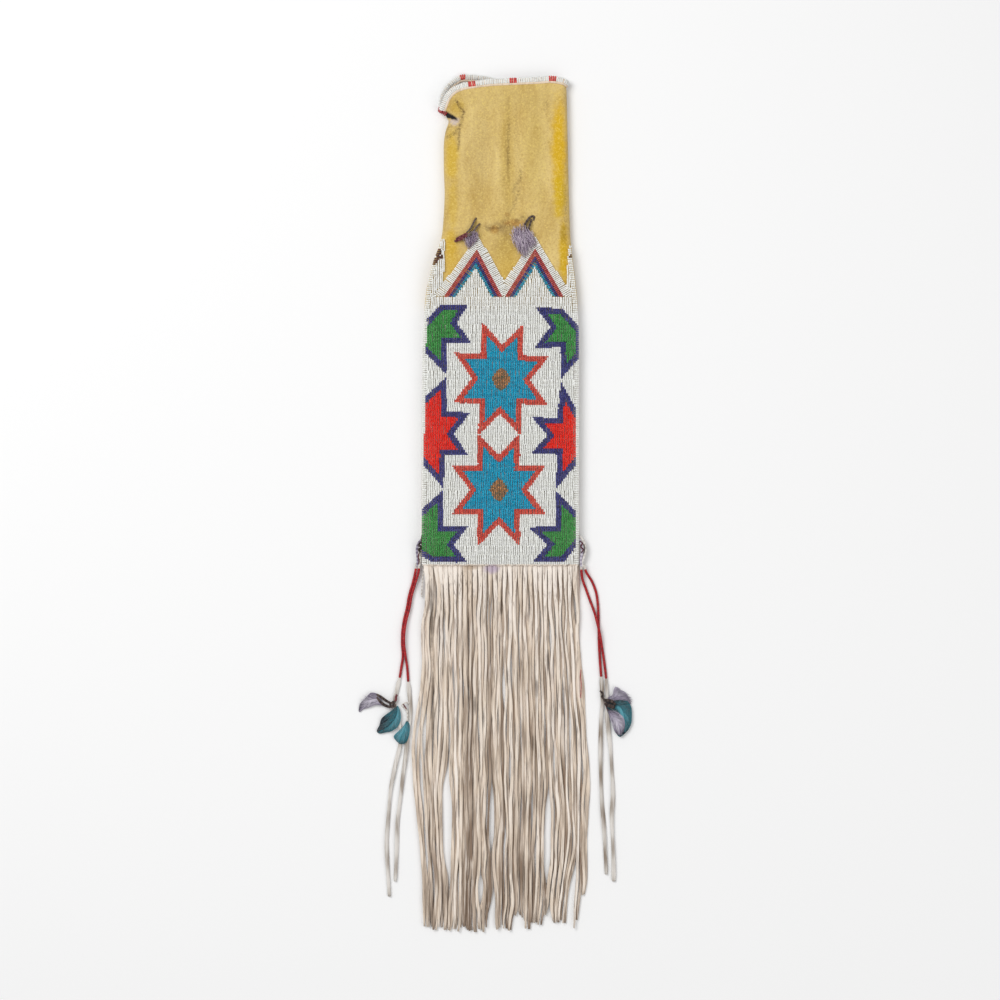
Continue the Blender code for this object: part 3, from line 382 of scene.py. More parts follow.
def make_hide_ochre():
    """Soft hide rubbed with ochre: mottled, darkened with dirt and painted shade in its creases, painted black as
    shade in the notch at the mouth's corner, plain inside and below the beads' edge.
    """
    material, tree, shader = new_material("hide_ochre", 0.88, 0.2)
    place = node(tree, "ShaderNodeTexCoord")
    grain = group(tree, HIDE_GRAIN, {"Fine Scale": 1100.0, "Mottle Scale": 45.0})
    join(tree, place, "Object", grain, "Vector")
    spread = node(tree, "ShaderNodeMapRange", {"From Min": 0.30, "From Max": 0.70})
    join(tree, grain, "Mottle", spread, "Value")
    colour = mix_colours(tree, spread, "Result", OCHRE_DARK, OCHRE_LIGHT)
    colour = blend_spots(tree, place, OCHRE_AND_SHADE_PATCHES, PATCH_STRENGTH, colour)
    fine = node(tree, "ShaderNodeTexNoise", {"Scale": 500.0, "Detail": 5.0, "Roughness": 0.75})
    join(tree, place, "Object", fine, "Vector")
    colour = blend_past(tree, fine, "Fac", (0.53, 0.66), colour, FLECK_BROWN, 0.5)
    colour = blend_past(tree, fine, "Fac", (0.48, 0.35), colour, FLECK_YELLOW, 0.6)
    # Creases darkened with dirt and painted shade, made ragged by the fine noise
    dirt_and_shade_mask = node(tree, "ShaderNodeAttribute", attribute_name="crease")
    ragged = node(tree, "ShaderNodeMath", operation="MULTIPLY")
    patchy = node(tree, "ShaderNodeMapRange", {"From Min": 0.35, "From Max": 0.60})
    join(tree, fine, "Fac", patchy, "Value")
    join(tree, dirt_and_shade_mask, "Fac", ragged, 0)
    join(tree, patchy, "Result", ragged, 1)
    colour = blend_colour(tree, ragged, 0, colour, "Result", DIRT_AND_SHADE_BROWN, 0.75)
    parts = node(tree, "ShaderNodeSeparateXYZ")
    join(tree, place, "Object", parts, 0)
    colour = blend_past(tree, parts, "Y", (OCHRE_LOW + OCHRE_FADE, OCHRE_LOW), colour, PLAIN_HIDE)
    # Plain colour on the inside faces, and the notch's painted black shade
    for part, tint in (("inside", INSIDE_HIDE), ("notch_shade", NOTCH_SHADE_COLOUR)):
        mask = node(tree, "ShaderNodeAttribute", attribute_name=part)
        colour = blend_colour(tree, mask, "Fac", colour, "Result", tint)
    join(tree, colour, "Result", shader, "Base Color")
    bump(tree, grain, "Height", shader, 0.00045, 0.9)
    shader.inputs["Sheen Weight"].default_value = 0.25
    shader.inputs["Sheen Roughness"].default_value = 0.5
    return material


GRIME = (0.16, 0.115, 0.085)
STAIN_AND_SHADE_STRENGTH = 0.7
BEAD_DUST = (0.42, 0.38, 0.32)


def make_thong_hide(name, dark, middle, light, streaked=0.35, stains_and_shade=(), grimy=0.0):
    """Cut hide thongs, streaked dark and light along their length."""
    material, tree, shader = new_material(name, 0.85, 0.2)
    place = node(tree, "ShaderNodeTexCoord")
    tone = tone_colours(tree, dark, middle, light)
    grain = group(tree, HIDE_GRAIN, {"Stretch": (1, 0.05, 1), "Fine Scale": 1500.0, "Mottle Scale": 420.0})
    join(tree, place, "Object", grain, "Vector")
    colour = blend_past(tree, grain, "Mottle", (0.50, 0.66), tone, dark, streaked, "Color")
    colour = blend_past(tree, grain, "Mottle", (0.48, 0.36), colour, light, 0.6)
    if grimy:
        slim = node(tree, "ShaderNodeMapping", {"Scale": (1.0, 0.045, 1.0)})
        lines = node(tree, "ShaderNodeTexNoise", {"Scale": 760.0, "Detail": 3.0, "Roughness": 0.6})
        join(tree, place, "Object", slim, "Vector")
        join(tree, slim, "Vector", lines, "Vector")
        colour = blend_past(tree, lines, "Fac", (0.57, 0.65), colour, GRIME, grimy)
    # Stains, and the painted shade of the gaps between thongs, where they are given
    colour = blend_spots(tree, place, stains_and_shade, STAIN_AND_SHADE_STRENGTH, colour)
    join(tree, colour, "Result", shader, "Base Color")
    bump(tree, grain, "Height", shader, 0.0003, 0.7)
    return material


def make_bead_glass(name, dark, middle, light, roughness=0.28, dusty=0.2):
    """Opaque glass seed beads: each bead has its own tone."""
    material, tree, shader = new_material(name, roughness, 0.38)
    tone = tone_colours(tree, dark, middle, light)
    place = node(tree, "ShaderNodeTexCoord")
    dust = node(tree, "ShaderNodeTexNoise", {"Scale": 700.0, "Detail": 3.0})
    join(tree, place, "Object", dust, "Vector")
    film = node(tree, "ShaderNodeMapRange", {"From Min": 0.55, "From Max": 0.75, "To Max": 0.35})
    join(tree, dust, "Fac", film, "Value")
    colour = blend_colour(tree, film, "Result", tone, "Color", BEAD_DUST, dusty)
    join(tree, colour, "Result", shader, "Base Color")
    return material


def make_fluff(name, dark, middle, light):
    """Barbs and down: soft, a little sheen, tone from root to tip."""
    material, tree, shader = new_material(name, 0.75, 0.25)
    tone = tone_colours(tree, dark, middle, light)
    place = node(tree, "ShaderNodeTexCoord")
    fleck = node(tree, "ShaderNodeTexNoise", {"Scale": 900.0, "Detail": 3.0})
    join(tree, place, "Object", fleck, "Vector")
    colour = blend_past(tree, fleck, "Fac", (0.58, 0.70), tone, light, 0.4, "Color")
    join(tree, colour, "Result", shader, "Base Color")
    shader.inputs["Sheen Weight"].default_value = 0.3
    return material


BACK_THREAD_AND_SHADE = (0.30, 0.27, 0.23, 1)
BACK_WHITE = (0.74, 0.73, 0.69, 1)


def make_bead_back():
    """The plain back, where the rows of beads are only relief, darkened between the beads with thread and painted
    shade.
    """
    material, tree, shader = new_material("bead_back", 0.35, 0.45)
    place = node(tree, "ShaderNodeTexCoord")
    parts = node(tree, "ShaderNodeSeparateXYZ")
    join(tree, place, "Object", parts, 0)
    waves = []
    for axis, pitch in (("X", BEAD_WIDTH), ("Y", LANE / BEADS_IN_ROW)):
        turn = node(tree, "ShaderNodeMath", {1: math.pi / pitch}, operation="MULTIPLY")
        wave = node(tree, "ShaderNodeMath", operation="SINE")
        size = node(tree, "ShaderNodeMath", operation="ABSOLUTE")
        join(tree, parts, axis, turn, 0)
        join(tree, turn, 0, wave, 0)
        join(tree, wave, 0, size, 0)
        waves.append(size)
    relief = node(tree, "ShaderNodeMath", operation="MULTIPLY")
    join(tree, waves[0], 0, relief, 0)
    join(tree, waves[1], 0, relief, 1)
    # Thread and painted shade between the beads
    gap = node(tree, "ShaderNodeMapRange", {"From Min": 0.0, "From Max": 0.25})
    join(tree, relief, 0, gap, "Value")
    tint = mix_colours(tree, gap, "Result", BACK_THREAD_AND_SHADE, BACK_WHITE)
    join(tree, tint, "Result", shader, "Base Color")
    bump(tree, relief, 0, shader, 0.0007)
    return material


# Beads
BEAD_WIDTH = 0.00192
BEADS_IN_ROW = 7
LANE = 0.00975
LANE_ARCH = 0.0006
LEG_LANE_OUT = 0.0092
LEG_LANE_IN = 0.0102
PLATE_THICK = 0.0021
PANEL_LOW = -0.1389
BEAD_INSET = 0.0008
HALF = 0.084
LANES = 36
EDGE_LANE = 0.0048
EDGE_BEADS = 3
EDGE_TOP = 0.1980
# Stains of the fringe, purple and brown just below the beads, and painted shade: dark streaks between its thongs
# and dark gaps at its left edge and near its ends. Each is centre and reach in millimetres, colour, strength
GAP_SHADE = (0.11, 0.08, 0.06)
GAP_SHADE_STREAKS = [(1.5, -184.4, 12.0), (7.4, -256.5, 11.0), (50.6, -241.7, 15.0), (38.6, -269.2, 12.0),
           (34.7, -329.7, 11.0), (-26.8, -287.3, 12.0)]
FRINGE_STAINS_AND_SHADE = [
    ((-9.3, -143.0), (9.0, 5.5), (0.44, 0.34, 0.50), 1.0),
    ((-30.0, -141.0), (10.0, 3.5), (0.50, 0.38, 0.28), 1.0),
    # Dark gaps between the thongs at the left edge: painted shade
    ((-73.0, -194.0), (2.2, 42.0), (0.09, 0.065, 0.05), 1.0),
    ((-71.6, -288.0), (1.9, 46.0), (0.13, 0.10, 0.08), 1.0),
    *(((x, y), (1.5, tall), GAP_SHADE, 1.0) for x, y, tall in GAP_SHADE_STREAKS),
    # Dark gaps near the thongs' ends: painted shade
    ((-74.5, -512.0), (1.3, 14.0), (0.09, 0.07, 0.06), 1.0),
    ((48.4, -500.0), (1.7, 10.0), (0.12, 0.09, 0.07), 1.0),
]

# Finishes: dark, middle and light tone, and what the maker wants besides
THONG_HIDE = {
    "hide_buff": ((0.28, 0.20, 0.145), (0.84, 0.71, 0.58), (0.98, 0.89, 0.80), 0.6, FRINGE_STAINS_AND_SHADE, 0.6),
    "hide_binding": ((0.42, 0.30, 0.14), (0.78, 0.62, 0.44), (0.90, 0.76, 0.64)),
    "hide_tail": ((0.28, 0.22, 0.17), (0.72, 0.68, 0.63), (0.88, 0.84, 0.80), 0.5),
    "hide_dark": ((0.015, 0.011, 0.012), (0.045, 0.032, 0.030), (0.16, 0.12, 0.10)),
    "hide_maroon": ((0.03, 0.008, 0.012), (0.12, 0.025, 0.035), (0.26, 0.10, 0.10)),
}
BEAD_GLASS = {
    "bead_white": ((0.80, 0.79, 0.75), (0.97, 0.98, 0.94), (1.0, 1.0, 1.0)),
    "bead_edge": ((0.68, 0.68, 0.65), (0.88, 0.89, 0.86), (0.97, 0.98, 0.95)),
    "bead_red": ((0.42, 0.04, 0.035), (0.74, 0.078, 0.052), (0.90, 0.19, 0.12)),
    "bead_brick": ((0.28, 0.02, 0.03), (0.52, 0.07, 0.075), (0.70, 0.22, 0.22)),
    "bead_rim": ((0.34, 0.02, 0.03), (0.64, 0.04, 0.04), (0.85, 0.13, 0.10)),
    "bead_scarlet": ((0.66, 0.008, 0.004), (0.92, 0.02, 0.008), (1.0, 0.05, 0.025)),
    "bead_blue": ((0.005, 0.22, 0.36), (0.006, 0.38, 0.60), (0.02, 0.50, 0.72)),
    "bead_teal": ((0.008, 0.15, 0.25), (0.015, 0.31, 0.48), (0.05, 0.45, 0.60)),
    "bead_navy": ((0.015, 0.015, 0.075), (0.042, 0.042, 0.215), (0.085, 0.095, 0.33)),
    "bead_green": ((0.02, 0.17, 0.03), (0.05, 0.32, 0.065), (0.09, 0.44, 0.10)),
    "bead_brown": ((0.08, 0.13, 0.08), (0.32, 0.165, 0.085), (0.78, 0.34, 0.095)),
    "bead_maroon": ((0.03, 0.01, 0.012), (0.08, 0.02, 0.025), (0.15, 0.04, 0.04)),
    "quill_red": ((0.12, 0.004, 0.008), (0.40, 0.010, 0.014), (0.56, 0.07, 0.06), 0.6, 0.03),
}
FLUFF = {
    "plume_purple": ((0.03, 0.025, 0.04), (0.27, 0.23, 0.32), (0.64, 0.60, 0.68)),
    "plume_teal": ((0.010, 0.018, 0.028), (0.025, 0.16, 0.20), (0.12, 0.38, 0.46)),
    "down_purple": ((0.06, 0.035, 0.08), (0.36, 0.27, 0.38), (0.78, 0.68, 0.76)),
}
MATERIALS = {"hide_ochre": make_hide_ochre(), "bead_back": make_bead_back()}
for maker, finishes in ((make_thong_hide, THONG_HIDE), (make_bead_glass, BEAD_GLASS), (make_fluff, FLUFF)):
    for finish_name, facts in finishes.items():
        MATERIALS[finish_name] = maker(finish_name, *facts)


def clamped(value, low=0.0, high=1.0):
    return min(high, max(low, value))


def finish_piece(piece, stands_for=()):
    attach(piece, "root")
    if stands_for:
        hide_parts(*stands_for)
    return piece


def with_modifiers(guide):
    """The mesh that an object's modifiers make. The object itself goes."""
    bpy.context.view_layer.update()
    graph = bpy.context.evaluated_depsgraph_get()
    result = bpy.data.meshes.new_from_object(guide.evaluated_get(graph), depsgraph=graph)
    bpy.data.objects.remove(guide, do_unlink=True)
    return result


def give_values(mesh, key, values):
    """Give each point of a mesh its own number."""
    mesh.attributes.new(key, "FLOAT", "POINT").data.foreach_set("value", np.array(values, np.float32))


# Geometry nodes: one shape on many points
def make_repeat_tree():
    """Set a shape on each point, turned and sized by the point's own attributes."""
    tree = bpy.data.node_groups.new("repeat_on_points", "GeometryNodeTree")
    face = tree.interface
    sockets = {}
    for label, kind in (("Points", "Geometry"), ("Shape", "Object"), ("Unit Size", "Vector"),
                        ("Finish", "Material")):
        sockets[label] = face.new_socket(label, in_out="INPUT", socket_type="NodeSocket" + kind).identifier
    face.new_socket("Geometry", in_out="OUTPUT", socket_type="NodeSocketGeometry")
    start = node(tree, "NodeGroupInput")
    end = node(tree, "NodeGroupOutput")
    shape = node(tree, "GeometryNodeObjectInfo", {"As Instance": True})
    turn = node(tree, "GeometryNodeInputNamedAttribute", {"Name": "turn"}, data_type="FLOAT_VECTOR")
    rotation = node(tree, "FunctionNodeEulerToRotation")
    size = node(tree, "GeometryNodeInputNamedAttribute", {"Name": "size"}, data_type="FLOAT_VECTOR")
    scaled = node(tree, "ShaderNodeVectorMath", operation="MULTIPLY")
    placed = node(tree, "GeometryNodeInstanceOnPoints")
    real = node(tree, "GeometryNodeRealizeInstances")
    finish = node(tree, "GeometryNodeSetMaterial")
    join(tree, start, "Shape", shape, "Object")
    join(tree, start, "Points", placed, "Points")
    join(tree, shape, "Geometry", placed, "Instance")
    join(tree, turn, "Attribute", rotation, 0)
    join(tree, rotation, 0, placed, "Rotation")
    join(tree, size, "Attribute", scaled, 0)
    join(tree, start, "Unit Size", scaled, 1)
    join(tree, scaled, 0, placed, "Scale")
    join(tree, placed, "Instances", real, "Geometry")
    join(tree, real, "Geometry", finish, "Geometry")
    join(tree, start, "Finish", finish, "Material")
    join(tree, finish, "Geometry", end, "Geometry")
    return tree, sockets


REPEAT_TREE, REPEAT_SOCKETS = make_repeat_tree()


def repeat(name, spots, shape, unit_size, material):
    """One mesh of many shapes. A spot is a place, a turn, a size and a tone."""
    mesh = bpy.data.meshes.new(name)
    mesh.from_pydata([tuple(spot[0]) for spot in spots], [], [])
    for index, key in ((1, "turn"), (2, "size")):
        values = np.array([tuple(spot[index]) for spot in spots], np.float32).ravel()
        mesh.attributes.new(key, "FLOAT_VECTOR", "POINT").data.foreach_set("vector", values)
    give_values(mesh, "tone", [spot[3] for spot in spots])
    guide = new_object(name + "_points", mesh)
    modifier = guide.modifiers.new("repeat", "NODES")
    modifier.node_group = REPEAT_TREE
    for label, value in (("Shape", shape), ("Unit Size", unit_size), ("Finish", material)):
        modifier[REPEAT_SOCKETS[label]] = value
    result = with_modifiers(guide)
    result.name = name
    for key in ("turn", "size"):
        if key in result.attributes:
            result.attributes.remove(result.attributes[key])
    return new_object(name, result)


def round_shape(name, stations, sides):
    """A closed turned shape along +Y: stations are (place along, radius)."""
    points, faces = [], []
    for along, radius in stations:
        for k in range(sides):
            angle = 2 * math.pi * (k + 0.5) / sides
            points.append((radius * math.cos(angle), along, radius * math.sin(angle)))
    for ring in range(len(stations) - 1):
        for k in range(sides):
            a = ring * sides + k
            b = ring * sides + (k + 1) % sides
            faces.append((a, a + sides, b + sides, b))
    faces.append(tuple(range(sides)))
    faces.append(tuple(reversed(range(len(points) - sides, len(points)))))
    mesh = bpy.data.meshes.new(name)
    mesh.from_pydata(points, [], faces)
    mesh.polygons.foreach_set("use_smooth", [True] * len(faces))
    return new_object(name, mesh)


BEAD_SHAPE = round_shape("bead_shape", [(-0.5, 0.34), (0.0, 0.5), (0.5, 0.34)], 6)
BEAD_UNIT = (BEAD_WIDTH, BEAD_WIDTH, BEAD_WIDTH)


def build_beads(name, spots, glass, stands_for=()):
    finish_piece(repeat(name, spots, BEAD_SHAPE, BEAD_UNIT, MATERIALS[glass]), stands_for)


def bead_turn(side, axis):
    """The turn that lays a bead's hole along its axis."""
    return Matrix((side, axis, side.cross(axis))).transposed().to_euler()


def random_tone(chance, middle, spread):
    return clamped(chance.gauss(middle, spread))


def off_line(spot, start, end):
    """How far a place lies off a straight line, and at which share of the line it is nearest."""
    share = clamped((spot - start).dot(end - start) / (end - start).length_squared)
    return (spot - start.lerp(end, share)).length, share


BEAD_NODES = [name for name in NODES if name.startswith(("star_", "motif_", "peak_")) or name == "beadwork_ground"]
# A plate is looked for straight down from a height, and next to its edge within a reach of its own height
LOOK_FROM = 0.05
PLATES_HIGH = 0.0155
PLATES_REACH = 0.0030


def bead_plates():
    """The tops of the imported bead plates, and which plate each face belongs to."""
    points, faces, owners = [], [], []
    for name in sorted(BEAD_NODES):
        mesh = NODES[name].data
        first = len(points)
        points.extend(vert.co.copy() for vert in mesh.vertices)
        for face in mesh.polygons:
            if face.normal.z > 0.5:
                faces.append([first + index for index in face.vertices])
                owners.append(name)
    return BVHTree.FromPolygons(points, faces), owners


PLATES, PLATE_OWNERS = bead_plates()


def plate_at(x, y, beyond):
    """Top of the bead plate at a place, with its name, or None further than that off the beadwork."""
    spot, normal, index, _ = PLATES.ray_cast(Vector((x, y, LOOK_FROM)), -UP)
    if spot is None:
        spot, normal, index, _ = PLATES.find_nearest(Vector((x, y, PLATES_HIGH)), PLATES_REACH)
        if spot is None or (spot.xy - Vector((x, y))).length > beyond:
            return None
    return spot, normal, PLATE_OWNERS[index]


# Peak legs in millimetres: foot and top of the outermost coloured band's edge
PEAK_LEGS = {
    "left": ((-59.7, 145.0), (-24.7, 195.0), (2.2, 145.0)),
    "right": ((4.9, 145.0), (36.9, 196.0), (67.0, 145.0)),
}
VALLEY_X = 0.00355
FOOT_Y = 0.1450
# Side lines of the beadwork in millimetres: place along the bag and place across
SIDE_LINES = {
    -1: [(-138.9, -83.0), (110.2, -82.2), (141.8, -78.7), (162.9, -76.3), (184.0, -70.3), (195.5, -65.6),
         (206, -62)],
    1: [(-138.9, 83.0), (110.2, 83.0), (141.8, 81.0), (162.9, 78.7), (184.0, 76.0), (206.0, 73.5)],
}
# Dark stitched marks across the side strips, in millimetres
SIDE_MARKS = [((-69.5, 179.5), (-64.0, 193.5)), ((-69.0, 184.5), (-61.5, 187.5)), ((74.3, 187.6), (76.0, 189.2))]
MARK_HALF = 0.0016
# How far a bead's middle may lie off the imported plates, by the kind of its lane
BEYOND = {"across": 0.0005, "edge": 0.0005, "inner": 0.0005, "outer": 0.0013}


def ramp(value, knots):
    for (a, fa), (b, fb) in zip(knots, knots[1:]):
        if value <= b:
            return fa + (fb - fa) * (max(value, a) - a) / (b - a)
    return knots[-1][1]


def side_x(side, y):
    return ramp(y / MM, SIDE_LINES[side]) * MM


def leg_lines():
    """For each leg: its foot, its direction up to the top, its outward normal and its length."""
    legs = {}
    for peak, (foot_left, top, foot_right) in PEAK_LEGS.items():
        for side, foot in (("left", foot_left), ("right", foot_right)):
            start = Vector(foot) * MM
            line = Vector(top) * MM - start
            along = line.normalized()
            out = Vector((-along.y, along.x)) if side == "left" else Vector((along.y, -along.x))
            legs[peak, side] = (start, along, out, line.length)
    return legs


LEGS = leg_lines()


def lane_kind(x, y):
    """Which lane a bead at a place belongs to: across the panel, up its edge or along a peak's leg."""
    for side in (-1, 1):
        if side * (x - side_x(side, y)) > -EDGE_LANE and y < EDGE_TOP:
            return "edge", side
    if y > FOOT_Y:
        peak = "left" if x < VALLEY_X else "right"
        side = "left" if x < PEAK_LEGS[peak][1][0] * MM else "right"
        start, _, out, _ = LEGS[peak, side]
        away = (Vector((x, y)) - start).dot(out)
        if 0 < away < LEG_LANE_OUT:
            return "outer", peak, side
        if -LEG_LANE_IN < away <= 0:
            return "inner", peak, side
    return ("across",)


def near_mark(x, y):
    spot = Vector((x, y))
    return any(off_line(spot, Vector(start) * MM, Vector(end) * MM)[0] < MARK_HALF for start, end in SIDE_MARKS)


# Unevenness of hand work: lean of a row, slack of its thread, stray and size of a bead, spread of the tones
ROW_LEAN = 0.025
ROW_SLACK = 0.03
BEAD_STRAY = 0.00004
BEAD_UNEVEN = 0.03
BEAD_FILLS = 0.97
TONE_SPREAD = 0.19


def string_row(found, start, along, length, count, kind, chance):
    """One row of beads strung between two stitches, arched over the hide."""
    lean = chance.gauss(0, ROW_LEAN)
    along = Vector((along.x - along.y * lean, along.y + along.x * lean))
    slack = chance.uniform(1 - ROW_SLACK, 1 + ROW_SLACK)
    for k in range(count):
        share = (k + 0.5) / count
        x, y = start + along * (share * length)
        x += chance.gauss(0, BEAD_STRAY)
        y += chance.gauss(0, BEAD_STRAY)
        if lane_kind(x, y) != kind:
            continue
        hit = plate_at(x, y, BEYOND[kind[0]])
        if hit is None:
            continue
        top, normal, owner = hit
        across = 2 * share - 1
        rise = LANE_ARCH * (1 - across * across) + chance.gauss(0, BEAD_STRAY)
        slope = -4 * LANE_ARCH * across / length
        axis = Vector((along.x, along.y, 0))
        axis = (axis - normal * axis.dot(normal)).normalized() + normal * slope
        axis.normalize()
        side = axis.cross(normal).normalized()
        place = (x, y, top.z - PLATE_THICK + BEAD_WIDTH / 2 + rise)
        wide = chance.gauss(1.0, BEAD_UNEVEN) * slack
        long = length / count / BEAD_WIDTH * chance.gauss(BEAD_FILLS, BEAD_UNEVEN)
        name = "side_marks" if near_mark(x, y) else owner
        tone = random_tone(chance, 0.5, TONE_SPREAD)
        found.setdefault(name, []).append((place, bead_turn(side, axis), (wide, long, wide), tone))


# Where a lane's first row starts, how even the rows lie, and how far the rows of a leg go past its ends
FIRST_ROW = (0.0011, 0.0006)
ROWS_UNEVEN = 0.015
BEFORE_LEG = 0.008
PAST_LEG = 0.014


def lane_beads():
    """Every bead of the front, sorted by the plate that it stands on."""
    found = {}
    chance = random.Random(11)
    for lane in range(LANES):
        low = PANEL_LOW + BEAD_INSET + lane * LANE
        x = -HALF + FIRST_ROW[0] + chance.uniform(0, FIRST_ROW[1])
        while x < HALF:
            string_row(found, Vector((x, low)), Vector((0, 1)), LANE, BEADS_IN_ROW, ("across",), chance)
            x += BEAD_WIDTH * chance.gauss(1.0, ROWS_UNEVEN)
    for side in (-1, 1):
        y = PANEL_LOW + BEAD_INSET + BEAD_WIDTH / 2
        while y < EDGE_TOP:
            start = Vector((side_x(side, y), y))
            string_row(found, start, Vector((-side, 0)), EDGE_LANE, EDGE_BEADS, ("edge", side), chance)
            y += BEAD_WIDTH * chance.gauss(1.0, BEAD_UNEVEN)
    for (peak, side), (foot, along, out, length) in LEGS.items():
        distance = -BEFORE_LEG
        while distance < length + PAST_LEG:
            start = foot + along * distance
            string_row(found, start, out, LEG_LANE_OUT, BEADS_IN_ROW, ("outer", peak, side), chance)
            string_row(found, start, -out, LEG_LANE_IN, BEADS_IN_ROW, ("inner", peak, side), chance)
            distance += BEAD_WIDTH * chance.gauss(1.0, BEAD_UNEVEN)
    return found


GROUND_PARTS = 3
PEAK_REDS = ("peak_left_red", "peak_right_red")


def build_front_beads():
    """Beads in place of each packed plate. The white ground is too many for one piece, so it is three."""
    for name, spots in sorted(lane_beads().items()):
        if name == "side_marks":
            build_beads("beads_side_marks", spots, "bead_maroon")
            continue
        slot = SLOT_OF[name]
        parts = [spots]
        if name == "beadwork_ground":
            spots.sort(key=lambda spot: spot[0][1])
            share = len(spots) // GROUND_PARTS + 1
            parts = [spots[index * share:(index + 1) * share] for index in range(GROUND_PARTS)]
        for index, part in enumerate(parts):
            label = f"beads_{name}" if len(parts) == 1 else f"beads_{name}_{index + 1}"
            build_beads(label, part, "bead_brick" if name in PEAK_REDS else slot, [name])


build_front_beads()


# Bead edging of the mouth
# Middle line: place across as a share of the neck's half width, millimetres above the notch, height
RIM_LINE = [(0.892, 43.5, 1), (0.732, 45.2, 1), (0.539, 44.5, 1), (0.379, 43.9, 1), (0.247, 43.5, 1),
            (0.115, 43.1, 1), (-0.071, 42.6, 1), (-0.205, 42.1, 1), (-0.329, 41.4, 1),
            (-0.553, 39.5, 1), (-0.682, 37.9, 1), (-0.811, 34.9, 1), (-0.908, 30.1, 1),
            (-0.971, 23.9, 1), (-1.014, 17.3, 0.96), (-1.041, 12.5, 0.76), (-1.050, 10.9, 0.5),
            (-1.050, 12.3, 0.24), (-1.054, 17.8, 0.04), (-1.027, 27.0, 0), (-0.955, 36.8, 0),
            (-0.836, 43.9, 0), (-0.711, 48.1, 0), (-0.570, 48.0, 0), (-0.368, 46.7, 0),
            (-0.200, 44.3, 0), (-0.023, 42.5, 0), (0.159, 42.3, 0), (0.362, 42.7, 0),
            (0.539, 44.4, 0), (0.715, 45.7, 0), (0.862, 44.7, 0.04), (0.950, 42.3, 0.22),
            (0.977, 41.1, 0.5), (0.956, 41.7, 0.8)]
NECK_LEAN = 0.0065
NECK_HALF = 0.0660
NOTCH_Y = 0.3307
RIM_LOW = 0.00235
RIM_GAP = 0.0101
RIM_WIDTH = 0.0064
RIM_HEIGHT = 0.0043
RIM_BLOCKS = [0.0106, 0.0516, 0.0956, 0.1470, 0.1946]
RIM_BLOCKS_LONG = [0.0085, 0.0080, 0.0072, 0.0085, 0.0064]
# The block at the corner is drawn in a darker red, as painted shade
CORNER_BLOCK = 3
RIM_BEADS_ROUND = 12
# The red block of the corner goes on round the fold: points and radius of this small roll
FOLD_ROLL = [(-0.0644, 0.3433, 0.0074), (-0.0618, 0.3417, 0.0090), (-0.0590, 0.3397, 0.0098),
             (-0.0578, 0.3388, 0.0098)]
FOLD_RADIUS = 0.0016
FOLD_BEADS_ROUND = 6
FOLD_BEAD_SIZE = (0.96, 0.72, 0.96)
RIM_BEAD_LONG = 0.00142
# The roll's core and the strip that binds it to the hide are drawn at every sixth point
RIM_STEP = 6
BINDING_RADIUS = 0.0013
BINDING_FLAT = 0.8
BINDING_OFF = 0.0004
CLOSED_STEPS = 24
OPEN_STEPS = 16


def smooth_between(before, start, end, after, steps):
    """Points of a smooth curve from one given point up to the next, with the ones before and after them."""
    points = []
    for step in range(steps):
        t = step / steps
        points.append(0.5 * (2 * start + (end - before) * t + (2 * before - 5 * start + 4 * end - after) * t * t
                             + (3 * start - before - 3 * end + after) * t * t * t))
    return points


def closed_curve(points):
    """Points on a smooth closed curve through the given ones."""
    dense = []
    for index in range(len(points)):
        dense += smooth_between(*(points[(index + k) % len(points)] for k in (-1, 0, 1, 2)), CLOSED_STEPS)
    return dense


def heading_at(path, index):
    """From the point before one point of an open path to the point after it."""
    return path[min(index + 1, len(path) - 1)] - path[max(index - 1, 0)]


def in_metres(points):
    return [Vector(point) * MM for point in points]


def rim_frames():
    """Points round the mouth with the direction out of the mouth, and how far round each one is."""
    points = [Vector((NECK_LEAN + across * NECK_HALF, NOTCH_Y + above * MM, RIM_LOW + height * RIM_GAP))
              for across, above, height in RIM_LINE]
    dense = closed_curve(points)
    frames = []
    out = Vector((0, 1, 0))
    far = 0.0
    for index, point in enumerate(dense):
        following = dense[(index + 1) % len(dense)]
        tangent = (following - dense[index - 1]).normalized()
        out = (out - tangent * out.dot(tangent)).normalized()
        frames.append((far, point, tangent, out.copy()))
        far += (following - point).length
    return frames, far


def oval_ring(point, tangent, out, wide, high, count):
    up = out.cross(tangent)
    angles = [2 * math.pi * k / count for k in range(count)]
    return [point + out * (math.cos(angle) * wide) + up * (math.sin(angle) * high) for angle in angles]


def open_curve(points, spacing):
    """Evenly spaced points on a smooth curve through the given ones, and its length."""
    dense = []
    last = len(points) - 1
    for index in range(last):
        dense += smooth_between(points[max(index - 1, 0)], points[index], points[index + 1],
                                points[min(index + 2, last)], OPEN_STEPS)
    dense.append(points[-1].copy())
    far = [0.0]
    for a, b in zip(dense, dense[1:]):
        far.append(far[-1] + (b - a).length)
    count = max(3, round(far[-1] / spacing) + 1)
    result = []
    index = 0
    for step in range(count):
        want = far[-1] * step / (count - 1)
        while index < len(dense) - 2 and far[index + 1] < want:
            index += 1
        share = (want - far[index]) / max(far[index + 1] - far[index], 1e-12)
        result.append(dense[index].lerp(dense[index + 1], min(1.0, share)))
    return result, far[-1]


